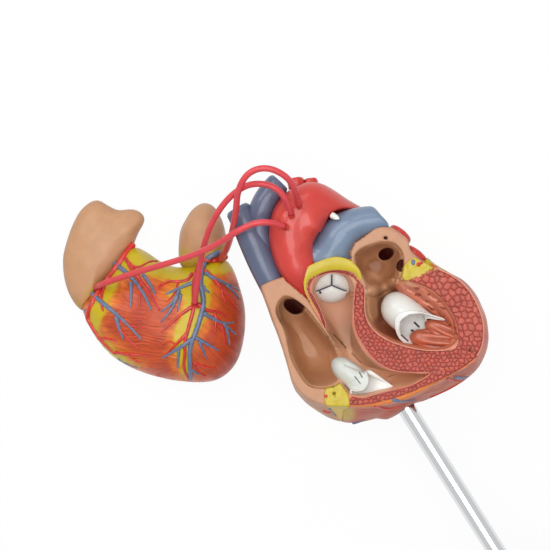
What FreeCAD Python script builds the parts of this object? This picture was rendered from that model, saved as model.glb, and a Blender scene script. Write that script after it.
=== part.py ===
"""Opened anatomical heart with three coronary bypass tubes, on a rod stand, as named solids.

The heart lies on its back with its cut face up and level, and its front wall lies beside it on
three locating pins. Millimetres. The table is z = 0, and the origin is the middle of the flat
patch on the back of the heart that rests on it.
"""
import FreeCAD, Part
import math
import os

import Sketcher
from FreeCAD import Placement, Rotation, Vector

doc = FreeCAD.newDocument("heart_model")

# ---------------------------------------------------------------------------------- sizes

SIZES = [
    # heart casting
    ("cut_height", 72.0, "cut face above the table"),
    ("widest_height", 40.0, "widest section of the casting above the table"),
    ("right_atrium_depth", 46.0, "chamber depths below the cut face"),
    ("right_ventricle_depth", 27.0, ""),
    ("left_atrium_depth", 44.0, ""),
    ("left_ventricle_depth", 42.0, ""),
    ("fat_depth", 9.0, "depth of the fat pads below the cut face"),
    ("root_band_width", 5.5, "yellow band round the pulmonary root"),
    ("root_band_rise", 2.2, "how far the band stands out from the trunk"),
    # vessels
    ("vessel_wall", 2.2, "wall of every large vessel"),
    ("aorta_radius", 13.3, ""),
    ("trunk_radius", 13.7, "pulmonary trunk at mid length"),
    ("cava_radius", 9.4, "superior vena cava"),
    ("brachiocephalic_radius", 7.8, ""),
    ("arch_branch_radius", 4.4, "the three arteries on the arch"),
    ("pulmonary_vein_radius", 7.2, ""),
    ("lower_cava_radius", 7.5, "inferior vena cava"),
    ("vessel_lumen_depth", 9.0, "how deep an open vessel end is hollow"),
    ("ligament_radius", 1.8, "cord between the arch and the trunk"),
    # valves and muscles
    ("valve_wall", 1.5, "thickness of leaflets"),
    ("cusp_gap", 0.5, "slots between the cusps of a shut valve"),
    ("cusp_bulge", 2.0, ""),
    ("aortic_valve_radius", 6.5, ""),
    ("semilunar_radius", 11.4, "pulmonary valve"),
    ("mitral_radius", 13.0, ""),
    ("tricuspid_radius", 9.0, ""),
    ("papillary_radius", 5.2, ""),
    # front wall
    ("pin_rise", 3.0, "how far the locating pins stand out of the rim"),
    ("pin_dia", 2.0, ""),
    ("pin_clearance", 0.2, "radial clearance of a pin in its hole"),
    ("pin_hole_spare", 1.0, "how much deeper a hole is than its pin is long"),
    ("pin_seat", 4.0, "length of a pin inside the front wall"),
    ("wall_rise", 34.0, "crown of the front wall above its rim"),
    ("wall_thickness", 14.0, "front wall at its rim"),
    ("wall_crown_thickness", 7.0, ""),
    ("right_auricle_rise", 14.0, ""),
    ("right_auricle_wall", 5.0, ""),
    ("left_auricle_rise", 21.0, ""),
    # coronary vessels
    ("artery_radius", 1.5, "coronary artery trunks in relief"),
    ("vein_radius", 1.6, "cardiac veins in relief"),
    # bypass tubes
    ("tube_dia", 4.0, ""),
    ("port_dia", 6.0, "bosses that the tubes end in"),
    ("port_reach", 7.0, "length of a port, most of it sunk in what it sits on"),
    # stand
    ("rod_dia", 12.0, ""),
    ("spigot_dia", 10.0, "rod end inside the heart"),
    ("spigot_clearance", 0.05, "radial clearance in the socket"),
    ("spigot_end_gap", 0.5, "between the spigot and the socket's end"),
    ("socket_wall", 2.0, ""),
    ("socket_depth", 30.0, ""),
    ("socket_end", 2.0, "closed end of the socket"),
    ("collar_dia", 20.0, ""),
    ("collar_thickness", 3.0, ""),
    ("seat_dia", 24.0, "spot face round the socket"),
    ("rod_reach", 140.0, "heart seat to the near face of the base"),
    ("rod_heading", -58.0, "direction of the rod over the table, degrees"),
    ("seat_x", 21.0, "middle of the spot face"),
    ("seat_y", -59.0, ""),
    ("seat_z", 37.0, ""),
    ("base_dia", 120.0, ""),
    ("base_thickness", 14.0, ""),
    ("base_fillet", 3.0, ""),
    ("rod_seat_depth", 6.0, "recess of the base that the rod stands in"),
    ("screw_dia", 6.0, ""),
    ("screw_head_dia", 12.0, ""),
    ("screw_head_height", 4.0, ""),
    ("screw_length", 22.0, "under the head"),
    ("screw_key", 5.0, "across flats of the hexagon socket"),
    ("key_depth", 2.4, ""),
    ("screw_end_gap", 1.0, "of the rod's hole past the screw's end"),
    ("screw_clearance", 0.3, "round the shank and the head"),
    ("head_recess", 5.5, "depth of the recess for the screw head"),
    ("pad_thickness", 2.0, "rubber pad under the base"),
    ("pad_margin", 4.0, "base rim left free round the pad"),
    ("pad_hole_dia", 24.0, ""),
]
sheet = doc.addObject("Spreadsheet::Sheet", "sizes")
for row, (alias, value, note) in enumerate(SIZES, 1):
    sheet.set(f"A{row}", alias)
    sheet.set(f"B{row}", str(value))
    sheet.set(f"C{row}", note)
    sheet.setAlias(f"B{row}", alias)
doc.recompute()


def size(alias):
    """The value of one cell of the sheet."""
    return float(getattr(sheet, alias))


# ------------------------------------------------------------------------------- outlines
# Plan outlines in millimetres, x to the right and y away, round which closed splines run.

CUT_OUTLINE = [
    (-71, 15.5), (-63.5, -4.5), (-56, -27), (-49, -46), (-37, -55), (-19, -57.5), (9.5, -55.5),
    (31.5, -46.5), (50.5, -36), (63.5, -26.5), (67.5, -12.5), (65, 3), (55, 19), (38.5, 29.5),
    (27, 41), (16, 51), (5.5, 55.5), (-9.5, 48.5), (-25, 41), (-42, 33.5), (-58, 23.5),
]
WIDEST_OUTLINE = [
    (-71.5, 14), (-63, -7.5), (-55, -30), (-48.5, -51), (-38, -61.5), (-15.5, -71), (13.5, -64),
    (38, -55), (59.5, -44), (70.5, -33), (76, -14.5), (72, 3.5), (61, 20), (43, 31),
    (30, 41.5), (18.5, 50.5), (8, 54.5), (-6.5, 48), (-24, 41.5), (-41.5, 33.5), (-58, 22),
]
RIGHT_ATRIUM = [
    (-61.5, 7.5), (-56.5, 12), (-48.5, 9), (-38, -2), (-27, -16), (-19, -31), (-22, -43),
    (-31.5, -46.5), (-39.5, -46), (-47, -39), (-53.5, -25), (-58.5, -7),
]
RIGHT_VENTRICLE = [
    (-39, 19), (-31.5, 26.5), (-20, 26.5), (-13, 17), (-14.5, 0), (-10.5, -17.5), (0, -30),
    (16, -35.5), (34.5, -37), (23.5, -43.5), (6.5, -48), (-8, -51.5), (-17.5, -49), (-23.5, -36),
    (-27, -19), (-33.5, -2),
]
LEFT_ATRIUM = [
    (-10.5, 28.5), (-11.5, 39.5), (-3, 44.5), (7, 46.5), (16, 42), (18.5, 33.5), (16, 22),
    (8, 13), (-3, 15.5),
]
LEFT_VENTRICLE = [
    (-6.5, 17), (4.5, 22), (16, 22), (26, 19.5), (36, 14.5), (44.5, 6.5), (51, -4), (53, -13),
    (47.5, -20), (31.5, -22), (16, -18.5), (3, -12), (-5, -2), (-7.5, 8),
]
RIGHT_FAT = [(-31.5, -49), (-29, -44.5), (-24, -43), (-20, -45.5), (-17, -51), (-17, -59), (-30, -58)]
LEFT_FAT = [(17.5, 23.5), (17.5, 28.5), (21.5, 34), (31, 37), (41, 31), (31, 25), (23.5, 22)]
# The grooves where the atria end, as polygons that run past the casting.
RIGHT_ATRIUM_AREA = [(-90, 45), (-58, 40), (-48, 18), (-32, -8), (-21, -24), (-19, -60), (-22, -90),
                     (-90, -90)]
LEFT_ATRIUM_AREA = [(-20, 20), (-16, 34), (-30, 70), (45, 70), (40, 40), (18, 22), (4, 12), (-10, 12)]

FRONT_WALL = [
    (-192.5, 1), (-187, -11.5), (-179.5, -22), (-169.5, -31.5), (-155.5, -39), (-137.5, -44.5),
    (-117, -47), (-101.5, -45), (-90, -35), (-84.5, -19), (-83.5, 1.5), (-88, 20), (-97.5, 35.5),
    (-114, 32.5), (-130.5, 30.5), (-144, 36.5), (-158.5, 43.5), (-170.5, 32.5), (-183, 16.5),
]
RIGHT_AURICLE = [
    (-192.5, 1), (-200.5, 9.5), (-205, 23), (-206, 36.5), (-202.5, 51.5), (-197, 64.5),
    (-190, 72.5), (-183, 75.5), (-176, 72.5), (-169.5, 69), (-158, 69), (-151.5, 64),
    (-154.5, 55), (-161, 42), (-171.5, 28), (-183, 12),
]
LEFT_AURICLE = [
    (-127.5, 34), (-128, 46), (-125.5, 58.5), (-119, 69), (-111.5, 73.5), (-103.5, 70),
    (-98, 60.5), (-96, 48), (-99, 34), (-114, 27),
]
BACK_CENTRE = (0.0, -3.0)
WALL_CROWN = (-130.0, -6.0)
RIGHT_AURICLE_CROWN = (-181.0, 42.0)
LEFT_AURICLE_CROWN = (-112.0, 50.0)

CUT = size("cut_height")
RIM = size("pin_rise")   # height of the front wall's rim, which stands on its pins
PINS = [(-102.9, 59.0), (-185.5, -3.0), (-101.0, -31.0)]
WALL_TURN = 35.0   # degrees that the front wall is turned clockwise from its place
PIN_HOLE_IN_FAT = (-25.8, -49.5)   # where the second pin's hole is in the cut face

# Centre lines of the vessels: plan position, and height from the cut face. Each has the share
# of its size that its radius has at each point.
TRUNK = [(-26.5, 30, -12), (-27, 40, -14.5), (-26, 48, -13), (-21, 55.5, -10.5), (-13, 60, -8.5),
         (-4, 62, -8), (4, 62.5, -9)]
TRUNK_SHARES = (1.13, 1.08, 1.02, 0.95, 0.87, 0.80, 0.74)
TRUNK_ROOT_WAY = Vector(0, 0.9, -0.43).normalize()
AORTA = [(-39, 8, -6), (-44.5, 17, -8), (-49.5, 33, -7.5), (-53.5, 48, -5.5), (-52.5, 60, -4.5),
         (-45, 69, -5.5), (-34, 72, -11), (-22, 69.5, -21), (-12, 63, -32), (-6, 56, -42)]
AORTA_SHARES = (0.26, 0.45, 0.96, 1.0, 1.0, 1.0, 0.98, 0.93, 0.88, 0.84)
ARCH_BRANCHES = {"brachiocephalic_artery": ((-47, 70, -14), (-50, 86, -15), 1.0),
                 "left_carotid_artery": ((-38, 70, -16), (-40, 87, -18), 0.9),
                 "left_subclavian_artery": ((-29, 70, -20), (-30, 85.5, -23), 0.9)}
LIGAMENT = ((-27.5, 66, -2), (-19, 60, 0))
VEINS = {
    "superior_vena_cava": ("cava_radius", (0.95, 1.0, 1.0, 0.98, 0.94, 0.88),
                           [(-60, 6, -12), (-65.5, 21, -11), (-71, 36, -10), (-76, 48.5, -9.5),
                            (-80.5, 57, -9.5), (-86, 64, -10)]),
    "left_brachiocephalic_vein": ("brachiocephalic_radius", (0.9, 1.0, 1.0, 1.0, 1.0),
                                  [(-73, 44, -9), (-74, 56, -7), (-70, 67.5, -5.5), (-65, 76, -5),
                                   (-60.5, 83, -6)]),
    "left_pulmonary_vein_upper": ("pulmonary_vein_radius", (1, 1, 1),
                                  [(10, 43, -22), (15, 49, -22), (20, 55, -23)]),
    "left_pulmonary_vein_lower": ("pulmonary_vein_radius", (1, 1, 1),
                                  [(23, 33, -25), (28.5, 39.5, -25), (34, 46, -26)]),
    "right_pulmonary_vein_upper": ("pulmonary_vein_radius", (1, 1, 1),
                                   [(-50, 6, -50), (-59, 8, -53), (-68, 10, -55)]),
    "right_pulmonary_vein_lower": ("pulmonary_vein_radius", (1, 1, 1),
                                   [(-46, -14, -50), (-53, -15, -53), (-60, -16, -56)]),
    "inferior_vena_cava": ("lower_cava_radius", (1, 1, 1),
                           [(-30, -40, -46), (-36, -47, -52), (-41.5, -52.5, -57.5)]),
}

# Each shut valve: the middle of its front, from the cut face, the way it faces, its size and
# how deep its recess is.
SHUT_VALVES = {"pulmonary_valve": ((-27.1, 17.6, -14.5), (0, -0.57, 0.82), "semilunar_radius", 4.5),
               "aortic_valve": ((-4.5, 13, -18), (0.75, -0.25, 0.6), "aortic_valve_radius", 4.0)}
# Each open valve: its tube's centre line, radius shares, and the plan outline of its mouth,
# which is open from a level below the cut face upwards.
OPEN_VALVES = {
    "mitral_valve": ("mitral_radius", (0.78, 0.86, 0.8, 0.66, 0.42),
                     [(4, 12, -20), (13, 4, -17), (22, -4, -14), (33, -7.5, -11.5), (43, -8.5, -11)],
                     [(16, -3), (17.5, 2), (22, 4), (27, 2), (31, -1.5), (37, -4.5), (48, -8.5), (36, -10),
                      (30, -12), (23, -13), (17, -9)], 14.0),
    "tricuspid_valve": ("tricuspid_radius", (0.6, 0.85, 1.0, 0.92, 0.5),
                        [(-27, -29, -17), (-21, -36, -15), (-12, -42, -13.5), (-2, -45, -12), (8, -46, -10)],
                        [(-15, -39), (-8, -39.5), (0, -41), (7, -43.5), (16, -46), (6, -48), (-3, -49.5),
                         (-12, -47)], 11.0),
}
PAPILLARIES = {
    "posterior_papillary_muscle": ((0.7, 1.15, 1.3, 1.2),
                                   [(25, -12.5, -20), (33, -15, -18), (43, -17.5, -17), (54, -19.5, -18)]),
    "anterior_papillary_muscle": ((0.7, 1.0, 1.15, 1.1),
                                  [(36, -3, -15), (42, -6, -15), (48, -10, -16), (56, -14, -18)]),
    "right_papillary_muscle": ((0.45, 0.6, 0.7), [(9, -42, -17), (17, -40.5, -18), (27, -39.5, -19)]),
}

# Plan routes of the vessels in relief on the front wall.
CORONARY_ROUTES = {
    "right_coronary_artery": ("artery_radius", [(-160, 43), (-166.5, 34), (-172.5, 25), (-177.5, 14),
                                                (-180.5, 3), (-179.5, -7), (-175, -16.5), (-167.5, -25)]),
    "anterior_descending_artery": ("artery_radius", [(-114.5, 5), (-116.5, -6), (-120, -18), (-122.5, -28),
                                                     (-120.5, -37)]),
    "great_cardiac_vein": ("vein_radius", [(-104.5, 32), (-109.5, 22), (-110.5, 10), (-113, -4), (-116, -15),
                                           (-118, -27), (-117, -38)]),
    "right_ventricle_vein_upper": ("vein_radius", [(-169.5, 29), (-162.5, 22.5), (-157, 15), (-151, 6),
                                                   (-146.5, -3)]),
    "right_ventricle_vein_lower": ("vein_radius", [(-180.5, 8.5), (-173, 2), (-165.5, -5.5), (-159.5, -14),
                                                   (-153, -21)]),
    "circumflex_artery": ("artery_radius", [(-99.5, 32), (-104, 27), (-108, 24)]),
}
# The two vessels in relief along the side of the casting: the stretch of its widest outline
# that each follows, how far above it, and its size.
SIDE_VESSELS = {"posterior_coronary_artery": (slice(7, 11), 7.0, "artery_radius"),
                "middle_cardiac_vein": (slice(4, 7), -2.0, "vein_radius")}

# The bypass tubes, from the aorta to the front wall.
TUBES = {
    "bypass_tube_circumflex": [(-48, 69, 82), (-49.5, 75.5, 93), (-55, 85, 102.5), (-67.5, 91, 106.5),
                               (-79.5, 88, 104.5), (-86, 77, 99), (-87, 65.5, 89), (-89.5, 54, 75),
                               (-92.5, 45.5, 56), (-96, 39, 36), (-99.5, 35.5, 17)],
    "bypass_tube_anterior": [(-53, 63.5, 82.5), (-55, 70.5, 91), (-63, 80, 96), (-77, 82, 94.5),
                             (-88, 76.5, 91), (-97.5, 66.5, 84), (-104.5, 54.5, 74), (-109.5, 40, 61),
                             (-112.5, 25, 50), (-114.5, 14, 43.5), (-115.5, 7, 37.5)],
    "bypass_tube_right": [(-57.5, 55.5, 82), (-63.5, 57.5, 88.5), (-74, 58, 91.5), (-85.5, 53, 90),
                          (-97, 45.5, 82), (-113.5, 38, 69), (-134, 32, 56), (-153, 27, 45),
                          (-167, 22.5, 37), (-176, 19.5, 31.5), (-180, 18, 24.5), (-182, 17, 17)],
}

# How full the crowned forms are: 2 is an ellipse, more is squarer.
CHAMBER_POWER, WALL_POWER, RIGHT_LOBE_POWER, LEFT_LOBE_POWER = 2.6, 2.3, 2.6, 2.1
CLEAR = 5.0   # how far a cutting form runs past what it cuts


# --------------------------------------------------------------------- shape tools

def closed_curve(points, height):
    """A closed spline through plan points at one height."""
    spline = Part.BSplineCurve()
    spline.interpolate([Vector(x, y, height) for x, y in points], PeriodicFlag=True)
    return Part.Wire([spline.toShape()])


def towards(points, centre, share):
    """The outline shrunk towards a centre."""
    return [(centre[0] + share * (x - centre[0]), centre[1] + share * (y - centre[1])) for x, y in points]


def from_cut(point):
    """A place whose height is given from the cut face."""
    return Vector(point[0], point[1], CUT + point[2])


def roundness(level, power):
    """How wide a crowned form still is at a level from 0 at its rim to 1 at its crown."""
    return (1 - level ** power) ** (1 / power)


def crowned(points, centre, rim, rise, power, levels=(0, 0.35, 0.62, 0.82, 0.94, 0.985)):
    """A solid that shrinks from its rim towards its crown. A negative rise makes a bowl."""
    sections = [closed_curve(towards(points, centre, roundness(level, power)), rim + rise * level)
                for level in levels]
    return Part.makeLoft(sections, True, False)


def bowl(points, centre, depth):
    """The solid that hollows out a chamber, from above the cut face down."""
    collar = Part.makeLoft([closed_curve(points, CUT), closed_curve(points, CUT + CLEAR)], True, False)
    return crowned(points, centre, CUT, -depth, CHAMBER_POWER).fuse(collar)


def prism(points, low, high, straight=False):
    """A column over a plan outline, spline-edged or straight-edged."""
    if straight:
        corners = [Vector(x, y, low) for x, y in points]
        wire = Part.makePolygon(corners + corners[:1])
    else:
        wire = closed_curve(points, low)
    return Part.Face(wire).extrude(Vector(0, 0, high - low))


def ring(centre, along, radius):
    """A round closed spline square to a direction that isn't vertical."""
    side = Vector(0, 0, 1).cross(along).normalize()
    up = along.cross(side).normalize()
    turns = [2 * math.pi * k / 10 for k in range(10)]
    spline = Part.BSplineCurve()
    spline.interpolate([centre + side * (radius * math.cos(a)) + up * (radius * math.sin(a))
                        for a in turns], PeriodicFlag=True)
    return Part.Wire([spline.toShape()])


def directions(points):
    """The tangent at each point of the smooth curve through the points."""
    spline = Part.BSplineCurve()
    spline.interpolate(points)
    return [Vector(*spline.tangent(spline.parameter(p))[0]) for p in points]


def tapered(points, radii, first_way=None):
    """A round solid that runs through the points, with one radius for each."""
    ways = directions(points)
    if first_way:
        ways[0] = first_way
    return Part.makeLoft([ring(p, way, r) for p, way, r in zip(points, ways, radii)], True, False)


def open_end(solid, points, radii):
    """The vessel with a blind lumen in its last end."""
    depth = size("vessel_lumen_depth")
    outwards = (points[-1] - points[-2]).normalize()
    return solid.cut(Part.makeCylinder(radii[-1] - size("vessel_wall"), depth + CLEAR,
                                       points[-1] - outwards * depth, outwards))


def cut_away(solid, *others):
    """The solid without the volume that its neighbours hold, as its largest lump."""
    for other in others:
        solid = solid.cut(other)
    return max(solid.Solids, key=lambda lump: lump.Volume)


# ------------------------------------------------------------------------ stand directions

FILLET = size("base_fillet")
RIM_RADIUS = size("base_dia") / 2 - FILLET
RIM_REACH = size("rod_reach") + FILLET
# The tilt at which the base's rounded rim just touches the table.
TILT = (math.degrees(math.acos((size("seat_z") - FILLET) / math.hypot(RIM_RADIUS, RIM_REACH)))
        - math.degrees(math.atan2(RIM_REACH, RIM_RADIUS)))
HEADING = math.radians(size("rod_heading"))
ALONG_ROD = Vector(math.cos(HEADING) * math.cos(math.radians(TILT)),
                   math.sin(HEADING) * math.cos(math.radians(TILT)),
                   math.sin(math.radians(TILT)))
SEAT = Vector(size("seat_x"), size("seat_y"), size("seat_z"))
STAND_TURN = Rotation(Vector(0, 0, 1), ALONG_ROD)


def on_rod(distance):
    """A placement on the rod's axis, that far out from the heart's seat."""
    return Placement(SEAT + ALONG_ROD * distance, STAND_TURN)


# --------------------------------------------------------------------------- heart casting

def whole_back():
    """The back half of the heart before it is hollowed: flat on the table, widest above it."""
    middle = size("widest_height")
    levels = [(0.0, 0.60), (0.06, 0.72), (0.28, 0.87), (0.62, 0.97), (1.0, 1.0)]
    sections = [closed_curve(towards(WIDEST_OUTLINE, BACK_CENTRE, share), middle * level)
                for level, share in levels]
    half_way = [((a + c) / 2, (b + d) / 2) for (a, b), (c, d) in zip(WIDEST_OUTLINE, CUT_OUTLINE)]
    sections.append(closed_curve(towards(half_way, BACK_CENTRE, 1.01), (middle + CUT) / 2))
    sections.append(closed_curve(CUT_OUTLINE, CUT))
    return Part.makeLoft(sections, True, False)


def pin_holes():
    """Holes in the cut face that the front wall's pins drop into when it is put back."""
    turn = Rotation(Vector(0, 0, 1), WALL_TURN)
    radius = size("pin_dia") / 2 + size("pin_clearance")
    depth = RIM + size("pin_hole_spare")
    holes = []
    for x, y in PINS:
        offset = turn.multVec(Vector(x - PINS[1][0], y - PINS[1][1], 0))
        at = Vector(*PIN_HOLE_IN_FAT, CUT - depth) + offset
        holes.append(Part.makeCylinder(radius, depth + CLEAR, at))
    return holes


chambers = [
    bowl(RIGHT_ATRIUM, (-42, -22), size("right_atrium_depth")),
    bowl(RIGHT_VENTRICLE, (-10, -32), size("right_ventricle_depth")),
    bowl(LEFT_ATRIUM, (3, 30), size("left_atrium_depth")),
    bowl(LEFT_VENTRICLE, (22, 0), size("left_ventricle_depth")),
]
SOCKET_RADIUS = size("spigot_dia") / 2 + size("spigot_clearance") + size("socket_wall")
socket_hole = Part.makeCylinder(SOCKET_RADIUS, size("socket_depth"),
                                SEAT - ALONG_ROD * size("socket_depth"), ALONG_ROD)
spot_face = Part.makeCylinder(size("seat_dia") / 2, CUT, SEAT, ALONG_ROD)
solid_back = whole_back()
casting = solid_back.cut(chambers + [socket_hole, spot_face] + pin_holes())

fat_low = CUT - size("fat_depth")
right_fat_column = prism(RIGHT_FAT, fat_low, CUT + CLEAR)
left_fat_column = prism(LEFT_FAT, fat_low, CUT + CLEAR)
right_area = prism(RIGHT_ATRIUM_AREA, -CLEAR, CUT + CLEAR, straight=True)
left_area = prism(LEFT_ATRIUM_AREA, -CLEAR, CUT + CLEAR, straight=True)

lean = casting.cut([right_fat_column, left_fat_column])
castings = {"ventricle_casting": lean.cut([right_area, left_area]),
            "right_atrium_casting": lean.common(right_area),
            "left_atrium_casting": lean.common(left_area),
            "right_groove_fat": casting.common(right_fat_column),
            "left_groove_fat": casting.common(left_fat_column)}


# ---------------------------------------------------------------------- great vessels

def vessel(points, alias, shares, first_way=None):
    """A round vessel's solid, its centre line and its radii."""
    line = [from_cut(point) for point in points]
    radii = [size(alias) * share for share in shares]
    return tapered(line, radii, first_way), line, radii


trunk_solid, trunk_line, trunk_radii = vessel(TRUNK, "trunk_radius", TRUNK_SHARES, TRUNK_ROOT_WAY)
aorta_solid, aorta_line, aorta_radii = vessel(AORTA, "aorta_radius", AORTA_SHARES)

# A yellow band of fat goes round the front of the trunk's root.
band = Part.makeCylinder(trunk_radii[0] + size("root_band_rise"), size("root_band_width"),
                         trunk_line[0], TRUNK_ROOT_WAY)
band = band.cut(Part.makeCylinder(trunk_radii[0] - size("vessel_wall"), size("root_band_width"),
                                  trunk_line[0], TRUNK_ROOT_WAY))
front = prism(WIDEST_OUTLINE, fat_low, CUT + size("trunk_radius"))
root_band = band.common(front)
trunk = trunk_solid.cut(root_band)

# The trunk and the aorta lie in grooves of the castings. The other vessels end on them.
for name, shape in castings.items():
    castings[name] = cut_away(shape, trunk_solid, root_band, aorta_solid)
in_place = [solid_back, trunk_solid, root_band, aorta_solid]
great_vessels = {"pulmonary_trunk": open_end(trunk, trunk_line, trunk_radii),
                 "aorta": open_end(cut_away(aorta_solid, trunk_solid, root_band), aorta_line, aorta_radii),
                 "pulmonary_root_fat": root_band}
branches = {name: ("arch_branch_radius", (share, share), (foot, tip))
            for name, (foot, tip, share) in ARCH_BRANCHES.items()}
for name, (alias, shares, points) in {**VEINS, **branches}.items():
    solid, line, radii = vessel(points, alias, shares)
    great_vessels[name] = open_end(cut_away(solid, *in_place), line, radii)
    in_place.append(solid)

ligament_start, ligament_end = map(from_cut, LIGAMENT)
ligament = Part.makeCylinder(size("ligament_radius"), (ligament_end - ligament_start).Length,
                             ligament_start, ligament_end - ligament_start)
great_vessels["ligamentum_arteriosum"] = cut_away(ligament, trunk_solid, aorta_solid)


# ------------------------------------------------------------------ valves and muscles

def shut_valve(centre, way, radius, back):
    """Three cusps with a low dome in front, and the recess that they stand in."""
    gap, bulge = size("cusp_gap"), size("cusp_bulge")
    recess = Part.makeCylinder(radius, back + radius, centre - way * back, way)
    dome_radius = (radius ** 2 + bulge ** 2) / (2 * bulge)
    cusps = recess.common(Part.makeSphere(dome_radius, centre + way * (bulge - dome_radius)))
    for spoke in range(3):
        slot = Part.makeBox(2 * radius, gap, back + radius, Vector(0, -gap / 2, -back))
        slot.Placement = Placement(centre, Rotation(Vector(0, 0, 1), way)
                                   * Rotation(Vector(0, 0, 1), 90 + 120 * spoke))
        cusps = cusps.cut(slot)
    return cusps, recess


def funnel(points, radii, mouth, level):
    """A leaflet tube, with a mouth cut out of the side that faces up."""
    lumen = points.copy()
    ways = directions(points)
    lumen[0] = points[0] - ways[0]
    lumen[-1] = points[-1] + ways[-1]
    shell = tapered(points, radii).cut(tapered(lumen, [r - size("valve_wall") for r in radii]))
    return shell.cut(prism(mouth, level, CUT + CLEAR))


valves = {}
for name, (centre, way, alias, back) in SHUT_VALVES.items():
    cusps, recess = shut_valve(from_cut(centre), Vector(*way).normalize(), size(alias), back)
    valves[name] = cusps.cut(aorta_solid)
    for casting_name in ("ventricle_casting", "left_atrium_casting", "right_atrium_casting"):
        castings[casting_name] = cut_away(castings[casting_name], recess)

muscles = {}
for name, (shares, points) in PAPILLARIES.items():
    solid, _, _ = vessel(points, "papillary_radius", shares)
    muscles[name] = cut_away(solid, castings["ventricle_casting"], *muscles.values())
for name, (alias, shares, points, mouth, mouth_depth) in OPEN_VALVES.items():
    _, line, radii = vessel(points, alias, shares)
    leaflets = funnel(line, radii, mouth, CUT - mouth_depth)
    valves[name] = cut_away(leaflets, *castings.values(), valves["aortic_valve"], *muscles.values())


# ---------------------------------------------------------------------------- front wall

# The thickness of the rim is a share of the wall's mean reach from its crown.
reaches = [math.dist(point, WALL_CROWN) for point in FRONT_WALL]
hollow_share = 1 - size("wall_thickness") * len(reaches) / sum(reaches)
hollow_outline = towards(FRONT_WALL, WALL_CROWN, hollow_share)
wall_outer = crowned(FRONT_WALL, WALL_CROWN, RIM, size("wall_rise"), WALL_POWER)
wall_hollow = crowned(hollow_outline, WALL_CROWN, RIM, size("wall_rise") - size("wall_crown_thickness"),
                      WALL_POWER)
wall_mouth = prism(hollow_outline, RIM - CLEAR, RIM)

lobe_reaches = [math.dist(point, RIGHT_AURICLE_CROWN) for point in RIGHT_AURICLE]
lobe_share = 1 - size("right_auricle_wall") * len(lobe_reaches) / sum(lobe_reaches)
right_lobe = crowned(RIGHT_AURICLE, RIGHT_AURICLE_CROWN, RIM, size("right_auricle_rise"), RIGHT_LOBE_POWER)
left_lobe = crowned(LEFT_AURICLE, LEFT_AURICLE_CROWN, RIM, size("left_auricle_rise"), LEFT_LOBE_POWER)
lobe_hollow = crowned(towards(RIGHT_AURICLE, RIGHT_AURICLE_CROWN, lobe_share), RIGHT_AURICLE_CROWN, RIM,
                      size("right_auricle_rise") - size("right_auricle_wall"), RIGHT_LOBE_POWER)

pins = []
for number, (x, y) in enumerate(PINS, 1):
    pin = doc.addObject("Part::Cylinder", f"pin_{number}")
    pin.setExpression("Radius", "sizes.pin_dia / 2")
    pin.setExpression("Height", "sizes.pin_rise + sizes.pin_seat")
    pin.Placement = Placement(Vector(x, y, 0), Rotation())
    pins.append(pin)
locating_pins = doc.addObject("Part::Compound", "locating_pins")
locating_pins.Label = "locating_pins"
locating_pins.Links = pins
doc.recompute()

front_parts = {"front_wall_casting": cut_away(wall_outer, wall_hollow, wall_mouth, locating_pins.Shape),
               "right_auricle": cut_away(right_lobe, wall_outer, lobe_hollow, locating_pins.Shape),
               "left_auricle": cut_away(left_lobe, wall_outer, locating_pins.Shape)}


# -------------------------------------------------------------------- vessels in relief

def thinning(alias, count):
    """Radii that fall evenly to a little over half of a size."""
    return [size(alias) * (1 - 0.45 * place / (count - 1)) for place in range(count)]


def height_over(solid, x, y):
    """How high the top of a solid is over a plan point."""
    met = solid.common(Part.makeLine(Vector(x, y, 0), Vector(x, y, 2 * CUT)))
    return max(vertex.Z for vertex in met.Vertexes)


coronaries = {}
for name, (alias, route) in CORONARY_ROUTES.items():
    line = [Vector(x, y, height_over(wall_outer, x, y)) for x, y in route]
    vessel_solid = tapered(line, thinning(alias, len(line)))
    coronaries[name] = cut_away(vessel_solid, wall_outer, right_lobe, left_lobe, *coronaries.values())
for name, (stretch, rise, alias) in SIDE_VESSELS.items():
    line = [Vector(x, y, size("widest_height") + rise) for x, y in WIDEST_OUTLINE[stretch]]
    coronaries[name] = cut_away(tapered(line, thinning(alias, len(line))), solid_back, spot_face)


# ------------------------------------------------------------------------ bypass tubes

def rounded_path(points):
    """Straight runs joined by the largest arcs that they leave room for, and the arcs' radii."""
    edges, radii, last = [], [], points[0]
    for before, corner, after in zip(points, points[1:], points[2:]):
        back_off = 0.45 * min((before - corner).Length, (after - corner).Length)
        inwards, outwards = (before - corner).normalize(), (after - corner).normalize()
        radii.append(back_off / math.tan((math.pi - inwards.getAngle(outwards)) / 2))
        middle = corner + (inwards + outwards).normalize() * (math.hypot(back_off, radii[-1]) - radii[-1])
        first, end = corner + inwards * back_off, corner + outwards * back_off
        edges += [Part.makeLine(last, first), Part.Arc(first, middle, end).toShape()]
        last = end
    edges.append(Part.makeLine(last, points[-1]))
    return Part.Wire(edges), radii


def port(end, before_end, *grounds):
    """The boss that a tube ends in, sunk in the surface below it."""
    boss = Part.makeCylinder(size("port_dia") / 2, size("port_reach"), end, end - before_end)
    return cut_away(boss, *grounds)


tubes, aorta_ports, wall_ports = {}, [], []
for name, points in TUBES.items():
    line = [Vector(*point) for point in points]
    path, radii = rounded_path(line)
    profile = Part.Wire([Part.makeCircle(size("tube_dia") / 2, line[0], line[1] - line[0])])
    tubes[name] = path.makePipeShell([profile], True, False)
    share = tubes[name].Volume / (math.pi * (size("tube_dia") / 2) ** 2 * path.Length)
    print(f"{name}: {path.Length:.0f} mm, volume {share:.4f} of section times length,",
          "radii", " ".join(f"{radius:.0f}" for radius in radii))
    aorta_ports.append(port(line[0], line[1], aorta_solid))
    wall_ports.append(port(line[-1], line[-2], wall_outer, right_lobe, left_lobe, *coronaries.values()))
ports = {"graft_ports_aorta": Part.makeCompound(aorta_ports),
         "graft_ports_wall": Part.makeCompound(wall_ports)}


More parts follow.
